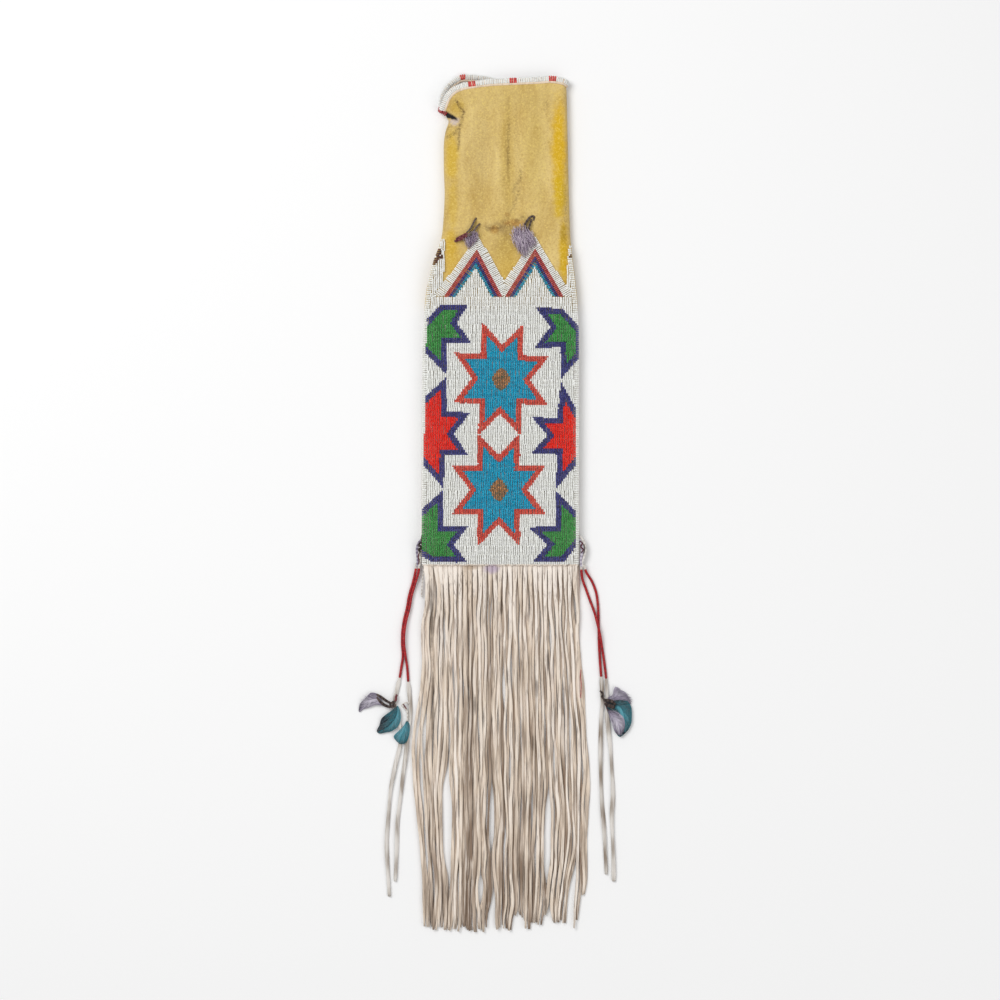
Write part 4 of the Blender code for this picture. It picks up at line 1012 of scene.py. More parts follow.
def fold_beads(chance):
    """Dark red beads wound on the small roll at the corner: their dark red and low tones are painted shade."""
    path, _ = open_curve([Vector(point) for point in FOLD_ROLL], BEAD_WIDTH)
    spots = []
    for index, point in enumerate(path):
        tangent = heading_at(path, index).normalized()
        out = tangent.cross(UP).normalized()
        up = out.cross(tangent)
        for k in range(FOLD_BEADS_ROUND):
            angle = 2 * math.pi * k / FOLD_BEADS_ROUND
            normal = out * math.cos(angle) + up * math.sin(angle)
            turn = bead_turn(tangent, tangent.cross(normal))
            spots.append((point + normal * FOLD_RADIUS, turn, FOLD_BEAD_SIZE, chance.uniform(0.0, 0.25)))
    return spots


def build_rim():
    """Rows of beads wrapped over the mouth's edge, white with red blocks, round a core of hide."""
    frames, total = rim_frames()
    chance = random.Random(23)
    white, red, corner = [], [], []
    distance = 0.0
    index = 0
    wide = RIM_WIDTH / 2 - BEAD_WIDTH / 2
    high = RIM_HEIGHT / 2 - BEAD_WIDTH / 2
    while distance < total - BEAD_WIDTH * 0.6:
        while index + 1 < len(frames) and frames[index + 1][0] < distance:
            index += 1
        _, point, tangent, out = frames[index]
        up = out.cross(tangent)
        near = [number for number, centre in enumerate(RIM_BLOCKS)
                if abs(distance - centre) < RIM_BLOCKS_LONG[number] / 2]
        beads = white if not near else corner if near[0] == CORNER_BLOCK else red
        phase = chance.uniform(0, 0.5)
        for k in range(RIM_BEADS_ROUND):
            angle = 2 * math.pi * (k + phase) / RIM_BEADS_ROUND
            normal = (out * math.cos(angle) / wide + up * math.sin(angle) / high).normalized()
            axis = (up * math.cos(angle) * high - out * math.sin(angle) * wide).normalized()
            place = point + out * (math.cos(angle) * wide) + up * (math.sin(angle) * high)
            side = axis.cross(normal).normalized()
            size = chance.gauss(0.96, BEAD_UNEVEN)
            tone = random_tone(chance, 0.55, 0.2)
            beads.append((place, bead_turn(side, axis), (size, RIM_BEAD_LONG / BEAD_WIDTH, size), tone))
        distance += BEAD_WIDTH * chance.gauss(1.0, BEAD_UNEVEN)
    whites = [name for name in NODES if name.startswith("rim_white")]
    reds = [name for name in NODES if name.startswith("rim_red")]
    build_beads("beads_rim_white", white, "bead_edge", whites)
    build_beads("beads_rim_red", red, "bead_rim", reds)
    # The corner's block and the fold's beads take the darker brick red, the fold's in low tones: painted shade of
    # the corner
    build_beads("beads_rim_fold", corner + fold_beads(chance), "bead_brick")
    flat = (BINDING_RADIUS, BINDING_RADIUS * BINDING_FLAT, 8)
    for name, inwards, oval, tone, hide in (
            ("rim_core", 0.0, (wide, high, 10), 0.5, "hide_buff"),
            ("rim_binding", RIM_WIDTH / 2 + BINDING_OFF, flat, 0.7, "hide_binding")):
        skin = Skin()
        skin.add([oval_ring(point - out * inwards, tangent, out, *oval)
                  for _, point, tangent, out in frames[::RIM_STEP]], tone, loop=True)
        skin.piece(name, MATERIALS[hide], "hide_buff")


class Skin:
    """A mesh put together from closed strips, each with a tone."""

    def __init__(self):
        self.points, self.faces, self.tones, self.finishes = [], [], [], []

    def add(self, rings, tone, finish=0, loop=False):
        """A strip that runs back into itself, or has closed ends. tone is one number or one for each ring."""
        start, count, last = len(self.points), len(rings[0]), len(rings) - 1
        for index, ring in enumerate(rings):
            self.points.extend(ring)
            self.tones.extend([tone[index] if isinstance(tone, list) else tone] * count)
        for index in range(last + loop):
            first, second = start + index * count, start + (index + 1) % len(rings) * count
            for k in range(count):
                j = (k + 1) % count
                self.faces.append((first + k, second + k, second + j, first + j))
        if not loop:
            self.faces.append(tuple(start + k for k in range(count)))
            self.faces.append(tuple(start + last * count + k for k in reversed(range(count))))
        self.finishes.extend([finish] * (len(self.faces) - len(self.finishes)))

    def piece(self, name, materials, slot=None, stands_for=()):
        mesh = bpy.data.meshes.new(name)
        mesh.from_pydata([tuple(point) for point in self.points], [], self.faces)
        mesh.polygons.foreach_set("use_smooth", [len(face) == 4 for face in self.faces])
        mesh.polygons.foreach_set("material_index", self.finishes)
        give_values(mesh, "tone", self.tones)
        for material in materials if isinstance(materials, list) else [materials]:
            mesh.materials.append(material)
        shaped = bmesh.new()
        shaped.from_mesh(mesh)
        bmesh.ops.recalc_face_normals(shaped, faces=shaped.faces)
        shaped.to_mesh(mesh)
        shaped.free()
        return finish_piece(new_object(name, mesh), stands_for)


build_rim()


# Hide of the bag
# Creases of the neck: line in millimetres, depth and half width in millimetres, dirt and painted shade
CREASES = [
    ([(8.2, 356), (8.2, 328)], 0.9, 2.4, 0.3),
    ([(8.2, 328), (8.2, 300), (9.4, 286)], 0.9, 2.6, 0.85),
    ([(9.4, 291), (5.0, 270), (8.2, 232), (6.0, 206)], 0.6, 2.6, 0.25),
    ([(21.5, 278), (20.8, 268), (16.0, 263), (14.5, 256)], 0.6, 2.0, 0.9),
    ([(-16, 343), (-17.5, 269), (-19, 216)], 0.5, 4.0, 0.1),
    ([(15.6, 343), (19, 290), (23, 248)], 0.45, 4.0, 0.15),
    ([(-46.0, 352), (-38.8, 340)], 1.1, 2.2, 1.8),
    ([(-40.0, 337), (-43.5, 325), (-48, 319), (-55, 314)], 1.1, 2.0, 1.3),
    ([(-43.8, 328), (-44.8, 301)], 0.8, 2.0, 1.1),
    ([(-58, 318), (-52, 326)], 0.8, 2.4, 0.7),
    ([(20, 259), (12.4, 235), (0, 221)], 0.5, 2.6, 0.6),
    ([(-14, 217), (4, 219), (25, 229)], 0.9, 2.4, 1.0),
    ([(2, 196), (9, 187), (18, 176)], 0.4, 3.4, 0.5),
    ([(69, 262), (69.6, 221), (65.4, 150)], 0.6, 3.0, 0.4),
    ([(50, 352), (48, 342)], 0.5, 1.6, 0.5),
]


def crease_at(x, y):
    """Depth of the creases at a place, and how dark it is painted there with dirt and shade."""
    depth, crease_dirt_and_shade = 0.0, 0.0
    spot = Vector((x / MM, y / MM))
    spot.x += 2.0 * noise.noise(Vector((x * 60, y * 40, 3.0)))
    for line, deep, wide, dirt_and_shade_level in CREASES:
        nearest = min(off_line(spot, Vector(a), Vector(b))[0] for a, b in zip(line, line[1:]))
        if nearest > 3.5 * wide:
            continue
        fall = math.exp(-((nearest / wide) ** 2))
        depth += deep * MM * fall
        crease_dirt_and_shade = max(crease_dirt_and_shade, dirt_and_shade_level * math.exp(-((nearest / (0.7 * wide)) ** 2)))
    return depth, crease_dirt_and_shade


# The notch under the pinched corner of the mouth, dented and painted black as the shade of the opening under the
# rim:
# its line and half width in millimetres
NOTCH_LINE = ((-58.2, 338.5), (-47.2, 333.8))
NOTCH_HALF = 1.9
NOTCH_DEPTH = 0.0022


def notch_at(x, y):
    """1 in the notch, fading to 0 outside it."""
    away, share = off_line(Vector((x / MM, y / MM)), *(Vector(point) for point in NOTCH_LINE))
    away /= NOTCH_HALF * (1.25 - 0.5 * share)
    return 1.0 if away < 1 else max(0.0, 1 - 2.5 * (away - 1))


def finer(mesh, levels):
    """The mesh after subdivision, as new data."""
    guide = new_object("finer", mesh)
    modifier = guide.modifiers.new("finer", "SUBSURF")
    modifier.levels = modifier.render_levels = levels
    return with_modifiers(guide)


# The neck starts here, and its creases end at the mouth's beads, fading over these lengths
NECK_FROM = 0.2
NECK_FADE = 0.01
CREASES_TO = 0.366
MOUTH_FADE = 0.02
# Heights between the hide's two walls
NECK_MIDDLE = 0.0066
POUCH_MIDDLE = 0.0080
HIDE_WAVE = 0.00035


def build_hide():
    """The bag's hide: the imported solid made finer, with the creases of the empty neck."""
    shaped = bmesh.new()
    shaped.from_mesh(NODES["hide_body"].data)
    bmesh.ops.remove_doubles(shaped, verts=shaped.verts, dist=0.00001)
    bmesh.ops.join_triangles(shaped, faces=shaped.faces, angle_face_threshold=0.7, angle_shape_threshold=1.4)
    mesh = bpy.data.meshes.new("hide_body_skin")
    shaped.to_mesh(mesh)
    shaped.free()
    mesh = finer(mesh, 2)
    mesh.name = "bag_hide"
    crease_dirt_and_shade, inside, notch_shade = (np.zeros(len(mesh.vertices), np.float32) for _ in range(3))
    for vert in mesh.vertices:
        x, y, z = vert.co
        above = z > (NECK_MIDDLE if y > NECK_FROM else POUCH_MIDDLE)
        flat = abs(vert.normal.z) > 0.5
        inside[vert.index] = float(flat and (vert.normal.z < 0) == above)
        if above and y > NECK_FROM:
            # Depth of the creases here, and how dark they are painted with dirt and shade
            depth, dirt_and_shade_level = crease_at(x, y)
            fade = min(1.0, (y - NECK_FROM) / NECK_FADE) * clamped((CREASES_TO - y) / MOUTH_FADE)
            vert.co.z -= depth * fade
            vert.co.z += HIDE_WAVE * noise.noise(Vector((x * 90, y * 30, 1.0))) * fade
            crease_dirt_and_shade[vert.index] = dirt_and_shade_level
            # The notch: dented, and painted black as shade
            shut = notch_at(x, y)
            vert.co.z -= NOTCH_DEPTH * shut
            notch_shade[vert.index] = shut
    for key, values in (("crease", crease_dirt_and_shade), ("inside", inside), ("notch_shade", notch_shade)):
        give_values(mesh, key, values)
    mesh.polygons.foreach_set("use_smooth", [True] * len(mesh.polygons))
    mesh.materials.clear()
    mesh.materials.append(MATERIALS["hide_ochre"])
    finish_piece(new_object("bag_hide", mesh), ["hide_body"])


build_hide()


# Strips of hide
def strip_rings(path, width, thick, twist=lambda share: 0.0, sides=8, square=0.55):
    """Rings of a flat strip along a path. width, thick and twist are functions of the share along it."""
    rings = []
    last = len(path) - 1
    for index, point in enumerate(path):
        share = index / last
        tangent = heading_at(path, index).normalized()
        side = tangent.cross(UP).normalized()
        up = side.cross(tangent)
        turn = twist(share)
        half_wide, half_thick = width(share) / 2, thick(share) / 2
        ring = []
        for k in range(sides):
            angle = 2 * math.pi * (k + 0.5) / sides
            c, s = math.cos(angle), math.sin(angle)
            u = half_wide * math.copysign(abs(c) ** square, c)
            v = half_thick * math.copysign(abs(s) ** square, s)
            ring.append(point + side * (u * math.cos(turn) - v * math.sin(turn))
                        + up * (u * math.sin(turn) + v * math.cos(turn)))
        rings.append(ring)
    return rings


# Fringe
FRINGE_WIDTH = 0.1645
FRINGE_THONGS = 31
FRINGE_LENGTH = 0.3890
FRINGE_UNEVEN = 0.0035
FRINGE_SPREAD = 0.0105
FRINGE_STRAY = 0.0200
STRAY_AT = 0.51
FRINGE_HEADER = 0.0070
THONG_THICK = 0.0015
BACK_LOW = 0.0024
FLOOR_GAP = 0.0001
# Places where the thongs part and the floor shows: x, y, half width, half height in millimetres
FRINGE_PARTINGS = [(-56.5, -407.0, 5.4, 50.0), (-10.8, -403.0, 2.6, 34.0), (51.5, -427.0, 3.3, 42.0),
                   (-19.5, -487.0, 2.2, 16.0), (-8.8, -525.0, 3.4, 36.0), (17.7, -530.0, 2.8, 24.0),
                   (50.6, -532.0, 2.8, 24.0), (75.5, -500.0, 3.7, 42.0), (-39.0, -534.0, 2.4, 11.0)]
# How far down the thongs end, by their place across just above their ends, in millimetres
FRINGE_ENDS = [(-80, 386), (-44, 390), (-40.6, 382), (-37, 390), (-13, 390), (-9, 354), (-6, 390), (0.5, 389),
               (3, 378), (6, 389), (14, 389), (17.7, 366), (20, 374), (29, 388), (33, 382), (47, 382),
               (50.6, 367), (55, 381), (72, 380), (75, 345), (78, 388), (83, 389), (85, 352), (95, 350)]
ENDS_AT = -0.500
# Narrow dark gaps of the front layer, where only the back layer shows: as the partings
FINE_PARTINGS = [(-73.4, -190.0, 2.0, 44.0), (-71.5, -290.0, 1.6, 46.0), (-64.5, -212.0, 0.8, 26.0),
                 (-57.6, -204.0, 0.6, 9.0), (-69.2, -226.0, 0.6, 16.0), (-43.2, -226.0, 0.7, 10.0),
                 (-27.3, -216.0, 0.7, 15.0),
                 (-4.0, -194.0, 0.7, 14.0), (13.0, -236.0, 0.7, 22.0), (33.0, -205.0, 0.7, 18.0),
                 (58.0, -250.0, 0.7, 26.0), (-38.0, -290.0, 0.8, 24.0), (22.0, -310.0, 0.8, 28.0),
                 (66.0, -330.0, 0.8, 24.0), (-70.0, -330.0, 0.9, 36.0), (-2.0, -350.0, 0.8, 26.0)]
# Where the left edge of the fringe is drawn in beside the tassel
DRAWN_IN = (-88.0, -167.5, 6.0, 26.0)
# The back layer's lower tone is painted shade: it lies under the front layer and shows between its thongs
FRINGE_LAYERS = {
    "fringe_front": {"phase": 0.42, "header": 0.0086, "rest": THONG_THICK + 0.0003, "seed": 31, "tone": 0.60,
                     "widths": (0.42, 0.78), "sway": (0.0006, 0.0021),
                     "partings": [DRAWN_IN] + FRINGE_PARTINGS + FINE_PARTINGS},
    "fringe_back": {"phase": 0.84, "header": BACK_LOW + 0.0006, "rest": 0.0, "seed": 37, "tone": 0.38,
                    "widths": (0.62, 0.92), "sway": (0.0005, 0.0014),
                    "partings": [DRAWN_IN] + [(x, y, wide * 1.4, tall) for x, y, wide, tall in FRINGE_PARTINGS]},
}
THONG_STOPS = 60
THONG_START = 0.0003
# How far down a thong is still as wide as its share of the header
HEADER_FADE = 0.042
# How far a parting pushes the thongs beside it, and the share of the fringe that the left bulge takes up
PARTING_REACH = 0.016
BULGE_ABOVE = 0.14
BULGE_BELOW = 0.21
PHASES = (0, 6.28)


def fringe_spread(x, y):
    """How far a thong that starts at x hangs outwards at y."""
    fall = min(1.0, (PANEL_LOW - y) / FRINGE_LENGTH)
    right = FRINGE_SPREAD * max(0.0, x / HALF) * math.sin(math.pi * fall ** 1.6)
    bulge = (fall - STRAY_AT) / (BULGE_ABOVE if fall < STRAY_AT else BULGE_BELOW)
    return right - FRINGE_STRAY * max(0.0, -x / HALF) ** 10 * math.exp(-(bulge ** 2))


def fringe_shift(x, y, partings):
    """Sideways drift of a thong that starts at x, where it has come down to y."""
    shift = fringe_spread(x, y)
    for px, py, wide, tall in partings:
        away = (y - py * MM) / (tall * MM)
        distance = x + fringe_spread(x, py * MM) - px * MM
        push = wide * MM * math.exp(-(away ** 4)) * math.exp(-abs(distance) / PARTING_REACH)
        shift += math.copysign(push, distance)
    return shift


def build_fringe(name, layer):
    """Thongs cut from one tab of hide: uneven widths, soft twists and ragged ends."""
    chance = random.Random(layer["seed"])
    skin = Skin()
    pitch = FRINGE_WIDTH / FRINGE_THONGS
    header, rest = layer["header"], layer["rest"]
    for index in range(FRINGE_THONGS):
        start = -FRINGE_WIDTH / 2 + pitch * (index + layer["phase"])
        low_end = start + fringe_shift(start, ENDS_AT, layer["partings"])
        uneven = FRINGE_UNEVEN * (0.5 + 0.5 * math.sin(2.4 * index + 40 * header))
        length = ramp(low_end / MM, FRINGE_ENDS) * MM - uneven
        sway, rate, begin = chance.uniform(*layer["sway"]), chance.uniform(9, 17), chance.uniform(*PHASES)
        lift = 0.0006 * (index % 3)
        points = []
        for stop in range(THONG_STOPS + 1):
            y = PANEL_LOW - THONG_START - (length - THONG_START) * stop / THONG_STOPS
            fall = (PANEL_LOW - y) / length
            swing = 0.7 * math.sin(rate * fall + begin) + 0.5 * math.sin(2.3 * rate * fall + 3 * begin)
            free = min(1.0, fall * 9)
            x = start + fringe_shift(start, y, layer["partings"]) + sway * swing * free
            z = ramp(PANEL_LOW - y, [(0.0, header), (FRINGE_HEADER, header), (0.040, rest + 0.35 * (header - rest)),
                                     (0.085, rest)])
            z += THONG_THICK / 2 + (lift + 0.0005 * abs(math.sin(1.3 * rate * fall + 2 * begin))) * free
            points.append(Vector((x, y, z)))
        base = pitch * chance.uniform(*layer["widths"])
        wave = chance.uniform(*PHASES)
        turn_at, turn_by = chance.uniform(0.1, 1.0), chance.choice((0.0, 0.3, -0.4, 0.6, 1.0, -0.9))

        def width(share, base=base, wave=wave):
            header_share = max(0.0, 1 - share * length / HEADER_FADE)
            body = base * (1 + 0.14 * math.sin(23 * share + wave) + 0.08 * math.sin(61 * share + 2 * wave))
            tip = 1 - 0.45 * max(0.0, share - 0.96) / 0.04
            return (body + (pitch * 1.02 - body) * header_share ** 1.3) * tip

        def thick(share):
            return THONG_THICK * (0.95 - 0.35 * max(0.0, share - 0.93) / 0.07)

        def twist(share, turn_at=turn_at, turn_by=turn_by):
            return turn_by * math.exp(-(((share - turn_at) / 0.16) ** 2))

        # The layer's tone, lower on the back layer as painted shade
        tone = clamped(chance.gauss(layer["tone"], TONE_SPREAD), 0.08, 0.95)
        lighter = 0.5 * max(0.0, start / HALF - 0.5)
        tones = [clamped(tone + 0.22 - 0.44 * (i / THONG_STOPS) + 0.20 * math.exp(-i / 5)
                         + 0.14 * math.sin(0.55 * i + wave) + lighter * (i / THONG_STOPS))
                 for i in range(THONG_STOPS + 1)]
        rings = strip_rings(points, width, thick, twist)
        for spot in (spot for ring in rings for spot in ring):
            spot.z = max(spot.z, FLOOR_GAP)
        skin.add(rings, tones)
    skin.piece(name + "_thongs", MATERIALS["hide_buff"], "hide_buff", [name])


for layer_name, layer_facts in FRINGE_LAYERS.items():
    build_fringe(layer_name, layer_facts)


# Welt of hide in the seam between the beadwork and the fringe: half length, thickness, height, and how far
# its ends drop from a place on
WELT_HALF = 0.0825
WELT_THICK = 0.0015
WELT_HIGH = 0.0109
WELT_STEPS = 110
WELT_DROP = 0.0014
WELT_DROPS_FROM = 0.070
WELT_DROPS_OVER = 0.0125


def build_welt():
    points = []
    for step in range(WELT_STEPS + 1):
        x = WELT_HALF * (step / (WELT_STEPS / 2) - 1)
        drop = WELT_DROP * max(0.0, abs(x) - WELT_DROPS_FROM) / WELT_DROPS_OVER
        points.append(Vector((x, PANEL_LOW + 0.0002 + 0.00015 * math.sin(900 * x), WELT_HIGH - drop)))
    skin = Skin()
    tones = [0.80 + 0.15 * math.sin(0.7 * step) for step in range(WELT_STEPS + 1)]
    skin.add(strip_rings(points, lambda share: WELT_THICK, lambda share: WELT_THICK, square=0.8), tones)
    skin.piece("fringe_welt", MATERIALS["hide_buff"], "hide_buff")


build_welt()


# Tassels: each is one thong, wrapped with red quills above and bare below
WRAPS = {
    "left_outer": [(-88.9, -137.4, 5.6), (-90.2, -147.0, 3.8), (-93.1, -159.0, 2.0), (-96.8, -171.7, 1.6),
                   (-99.0, -184.4, 1.6), (-102.1, -197.2, 1.6), (-103.9, -209.9, 1.6), (-104.2, -222.6, 1.6),
                   (-103.4, -235.3, 1.6), (-105.1, -248.0, 1.6), (-106.8, -258.6, 1.6)],
    "left_inner": [(-85.9, -137.2, 6.2), (-86.9, -147.0, 5.0), (-90.4, -159.0, 3.6), (-94.1, -171.7, 3.4),
                   (-96.4, -184.4, 3.6), (-99.7, -197.2, 4.2), (-101.7, -209.9, 4.9), (-102.0, -222.6, 4.9),
                   (-100.6, -235.3, 3.4), (-98.8, -248.0, 1.8), (-97.7, -262.9, 1.6)],
    "right_outer": [(88.6, -138.4, 5.6), (91.4, -146.9, 4.2), (97.5, -156.9, 2.2), (101.8, -168.5, 1.6),
                    (103.6, -181.3, 1.6), (104.2, -195.0, 1.6), (104.5, -209.9, 1.6), (104.9, -224.7, 1.6),
                    (105.9, -241.7, 1.6), (107.1, -257.6, 1.6)],
    "right_inner": [(85.6, -138.4, 6.0), (86.9, -152.6, 4.4), (91.2, -165.4, 2.4), (95.8, -178.1, 2.2),
                    (100.0, -189.7, 3.6), (103.4, -202.5, 4.8), (106.2, -215.2, 4.6), (108.4, -229.0, 2.4),
                    (110.6, -243.8, 1.6), (112.4, -259.7, 1.6)],
}
TAILS = {
    "left_outer": [(-109.9, -272.4), (-112.4, -286.2), (-110.0, -296.0), (-107.0, -308.0), (-105.3, -321.2),
                   (-107.4, -335.0), (-110.6, -347.7), (-113.7, -362.5), (-116.4, -377.4), (-118.0, -394.3),
                   (-119.4, -413.4), (-120.6, -432.5), (-120.1, -451.6), (-119.0, -470.6), (-117.8, -490.8)],
    "left_inner": [(-96.8, -274.0), (-95.7, -284.0), (-95.2, -292.6), (-96.2, -305.3), (-98.4, -319.1),
                   (-99.4, -330.7), (-101.0, -345.6), (-103.4, -362.5), (-105.0, -377.4), (-107.1, -394.3),
                   (-109.2, -413.4), (-109.8, -435.7), (-110.6, -455.8), (-111.6, -474.9)],
    "right_outer": [(108.1, -275.6), (108.3, -286.2), (107.3, -298.9), (106.7, -313.8), (106.5, -329.7),
                    (106.5, -345.6), (106.7, -361.5), (107.3, -377.4), (108.1, -393.3), (109.3, -408.1),
                    (110.6, -425.1), (111.3, -441.0), (112.0, -454.7), (112.5, -467.5)],
    "right_inner": [(113.2, -273.5), (113.4, -286.2), (113.6, -301.0), (115.0, -315.9), (116.6, -329.7),
                    (117.7, -343.4), (118.6, -358.3), (119.5, -373.1), (119.5, -388.0), (118.4, -403.9),
                    (118.9, -421.9), (119.8, -441.0), (120.3, -459.0), (120.5, -474.9)],
}
WRAP_DIAMETER = 0.0030
TAIL_WIDTH = 0.0042
TAIL_THICK = 0.0014
TAIL_HEIGHT = 0.0018
TAIL_TONES = {"left_outer": 0.50, "left_inner": 0.44, "right_outer": 0.27, "right_inner": 0.42}
# One turn of the quills is drawn with three rings
QUILL_TURN = 0.0013
QUILL_STEP = QUILL_TURN / 3
QUILLS_FROM = 0.0050
# The tail is drawn coarser. Where it leaves the wrap it is as wide and thick as the wrap lets it be
TAIL_STEP = 8
TAIL_ROOT = 0.03
TAIL_ROOT_WIDTH = 0.0024
TAIL_ROOT_THICK = 0.0022


def build_tassel(name):
    """One thong: ribbed red quill wrapping, then the bare flat tail."""
    wrap = in_metres(WRAPS[name])
    tail = [Vector((x * MM, y * MM, TAIL_HEIGHT)) for x, y in TAILS[name]]
    path, _ = open_curve(wrap + tail, QUILL_STEP)
    _, wrapped = open_curve(wrap, QUILL_STEP)
    chance = random.Random(name)
    skin = Skin()
    split = round(wrapped / QUILL_STEP)
    unwrapped = round(QUILLS_FROM / QUILL_STEP)
    quilled = path[unwrapped:split + 1]
    turns = len(quilled) // 3

    def ribbed(share):
        return WRAP_DIAMETER * (0.86 + 0.14 * abs(math.sin(math.pi * share * turns)))

    sway = chance.uniform(0, 6)
    tones = [random_tone(chance, 0.42, 0.22) for _ in quilled]
    skin.add(strip_rings(quilled, ribbed, ribbed, sides=10, square=1.0), tones)
    skin.add(strip_rings(path[:unwrapped + 2], lambda share: WRAP_DIAMETER * 0.9, lambda share: WRAP_DIAMETER * 0.8,
                         sides=10, square=0.8), 0.45, 1)
    bare = path[split - 2::TAIL_STEP] + [path[-1]]

    def width(share):
        start = max(0.0, 1 - share / TAIL_ROOT)
        tip = 1 - 0.3 * max(0.0, share - 0.97) / 0.03
        body = TAIL_WIDTH * (1 + 0.14 * math.sin(17 * share + sway))
        return (body * (1 - start) + TAIL_ROOT_WIDTH * start) * tip

    def thick(share):
        start = max(0.0, 1 - share / TAIL_ROOT)
        return TAIL_THICK * (1 - start) + TAIL_ROOT_THICK * start

    def twist(share):
        return 0.5 * math.sin(9 * share + sway) * min(1.0, share * 8)

    tones = [TAIL_TONES[name] + 0.24 * math.sin(0.5 * index + sway) for index in range(len(bare))]
    skin.add(strip_rings(bare, width, thick, twist, 10, 0.6), tones, 1)
    piece = skin.piece(f"tassel_{name}", [MATERIALS["quill_red"], MATERIALS["hide_tail"]], None,
                       [f"tassel_{name}_wrap", f"tassel_{name}_tail"])
    return piece, path


# Feathers: outline and shaft in millimetres, quill end first; layer above the tails; share of its height
# that the outer end sinks by; tones from root to tip; how much lighter the left vane is than the right
FEATHERS = {
    "feather_left_plume": {
        "layer": 0, "droop": 0.8, "slot": "plume_purple", "tones": [0.36, 0.70, 0.62, 0.50, 0.42], "lean": 0.5,
        "outline": [(-123.8, -288.6), (-126.0, -284.6), (-125.8, -280.0), (-127.5, -277.6), (-130.2, -275.6),
                    (-134.6, -274.2), (-138.3, -274.8), (-141.8, -278.4), (-144.9, -281.8), (-148.8, -286.0),
                    (-150.3, -290.8), (-150.2, -294.9), (-148.4, -294.9), (-145.4, -292.4), (-140.8, -291.0),
                    (-136.2, -289.2), (-131.9, -287.6), (-128.0, -287.8)],
        "shaft": [(-125.0, -287.2), (-127.6, -284.0), (-131.5, -281.0), (-136.0, -281.3), (-141.0, -285.3),
                  (-146.0, -290.2), (-148.6, -293.2)],
    },
    "feather_left_teal": {
        "layer": 0, "droop": 0.4, "slot": "plume_teal", "tones": [0.45, 0.60, 0.42, 0.12, 0.0], "lean": 0.5,
        "outline": [(-108.8, -288.0), (-106.0, -294.0), (-105.4, -303.2), (-109.0, -311.0), (-115.0, -315.4),
                    (-121.2, -316.9), (-128.6, -318.0), (-131.2, -314.8), (-128.6, -309.5), (-126.5, -302.1),
                    (-122.2, -297.9), (-115.6, -293.4)],
        "shaft": [(-109.6, -289.3), (-109.3, -293.6), (-110.6, -300.0), (-115.4, -306.9), (-121.9, -311.9),
                  (-129.3, -315.8)],
    },
    "feather_left_green": {
        "layer": 0, "droop": 0.0, "slot": "plume_teal", "tones": [0.50, 0.85, 0.80, 0.60, 0.40], "lean": -0.2,
        "outline": [(-99.0, -303.0), (-96.0, -309.0), (-96.0, -316.0), (-97.3, -322.2), (-100.0, -327.5),
                    (-105.3, -329.1), (-110.6, -325.4), (-113.2, -320.5), (-108.0, -315.0), (-103.4, -310.4)],
        "shaft": [(-99.2, -303.6), (-100.3, -309.5), (-102.6, -315.9), (-105.3, -321.2), (-107.3, -326.4)],
    },
    "feather_right_purple": {
        "layer": 0, "droop": 0.5, "slot": "plume_purple", "tones": [0.20, 0.50, 0.62, 0.58, 0.50], "lean": 0.2,
        "outline": [(112.0, -284.6), (114.6, -279.4), (119.0, -276.6), (120.2, -271.2), (122.6, -267.8),
                    (127.9, -271.4), (132.8, -273.8), (136.4, -279.8), (138.6, -286.4), (134.4, -286.6),
                    (128.0, -284.0), (121.0, -283.6), (115.4, -286.6)],
        "shaft": [(112.8, -284.6), (117.4, -281.8), (123.4, -278.6), (129.6, -278.8), (135.6, -283.4)],
    },
    "feather_right_teal": {
        "layer": 0, "droop": 0.0, "slot": "plume_teal", "tones": [0.05, 0.50, 0.85, 0.70, 0.20], "lean": -0.5,
        "outline": [(111.6, -288.0), (115.8, -283.2), (121.0, -279.4), (128.0, -278.8), (134.8, -282.6),
                    (139.2, -289.4), (139.9, -300.0), (139.1, -307.4), (135.4, -314.8), (127.9, -321.2),
                    (124.2, -319.6), (121.0, -312.5), (117.5, -303.0), (112.6, -292.0)],
        "shaft": [(112.8, -288.6), (119.6, -287.0), (125.8, -288.6), (130.2, -295.0), (131.4, -305.0),
                  (128.2, -317.6)],
    },
    "feather_right_lower": {
        "layer": 1, "droop": 0.0, "slot": "plume_purple", "tones": [0.06, 0.60, 0.88, 0.66, 0.15], "lean": -0.1,
        "outline": [(112.6, -291.2), (118.4, -293.0), (124.8, -295.2), (131.1, -301.0), (132.2, -310.6),
                    (129.0, -318.6), (125.0, -319.2), (121.6, -316.2), (119.1, -310.2), (117.0, -304.5),
                    (114.9, -297.5)],
        "shaft": [(113.4, -292.3), (117.8, -296.6), (122.6, -302.6), (126.2, -309.5), (127.2, -317.0)],
    },
}
FEATHER_LOW = 0.0038
FEATHER_THICK = 0.0016
LAYER_STEP = 0.0019
BARB_STEP = 0.00042
BARB_WIDE = 0.0008
BARB_HIGH = 0.00028
BARB_LONGEST = 0.017
BARB_TONES = (-0.10, 0.0, 0.05, 0.02, -0.08)
VANE_STEP = 0.0010
VANE_DROP = 0.0010
VANE_THICK = 0.0003
SHAFT_WIDE = 0.0010
SHAFT_HIGH = 0.0009


def way_out(start, direction, outline):
    """How far a flat line from a place runs before it leaves an outline."""
    reach = 0.0
    for a, b in zip(outline, outline[1:] + outline[:1]):
        edge, gap = b - a, a - start
        cross = direction.x * edge.y - direction.y * edge.x
        if abs(cross) < 1e-12:
            continue
        far = (gap.x * edge.y - gap.y * edge.x) / cross
        share = (gap.x * direction.y - gap.y * direction.x) / cross
        if far > 0.0001 and 0 <= share <= 1 and (not reach or far < reach):
            reach = far
    return reach


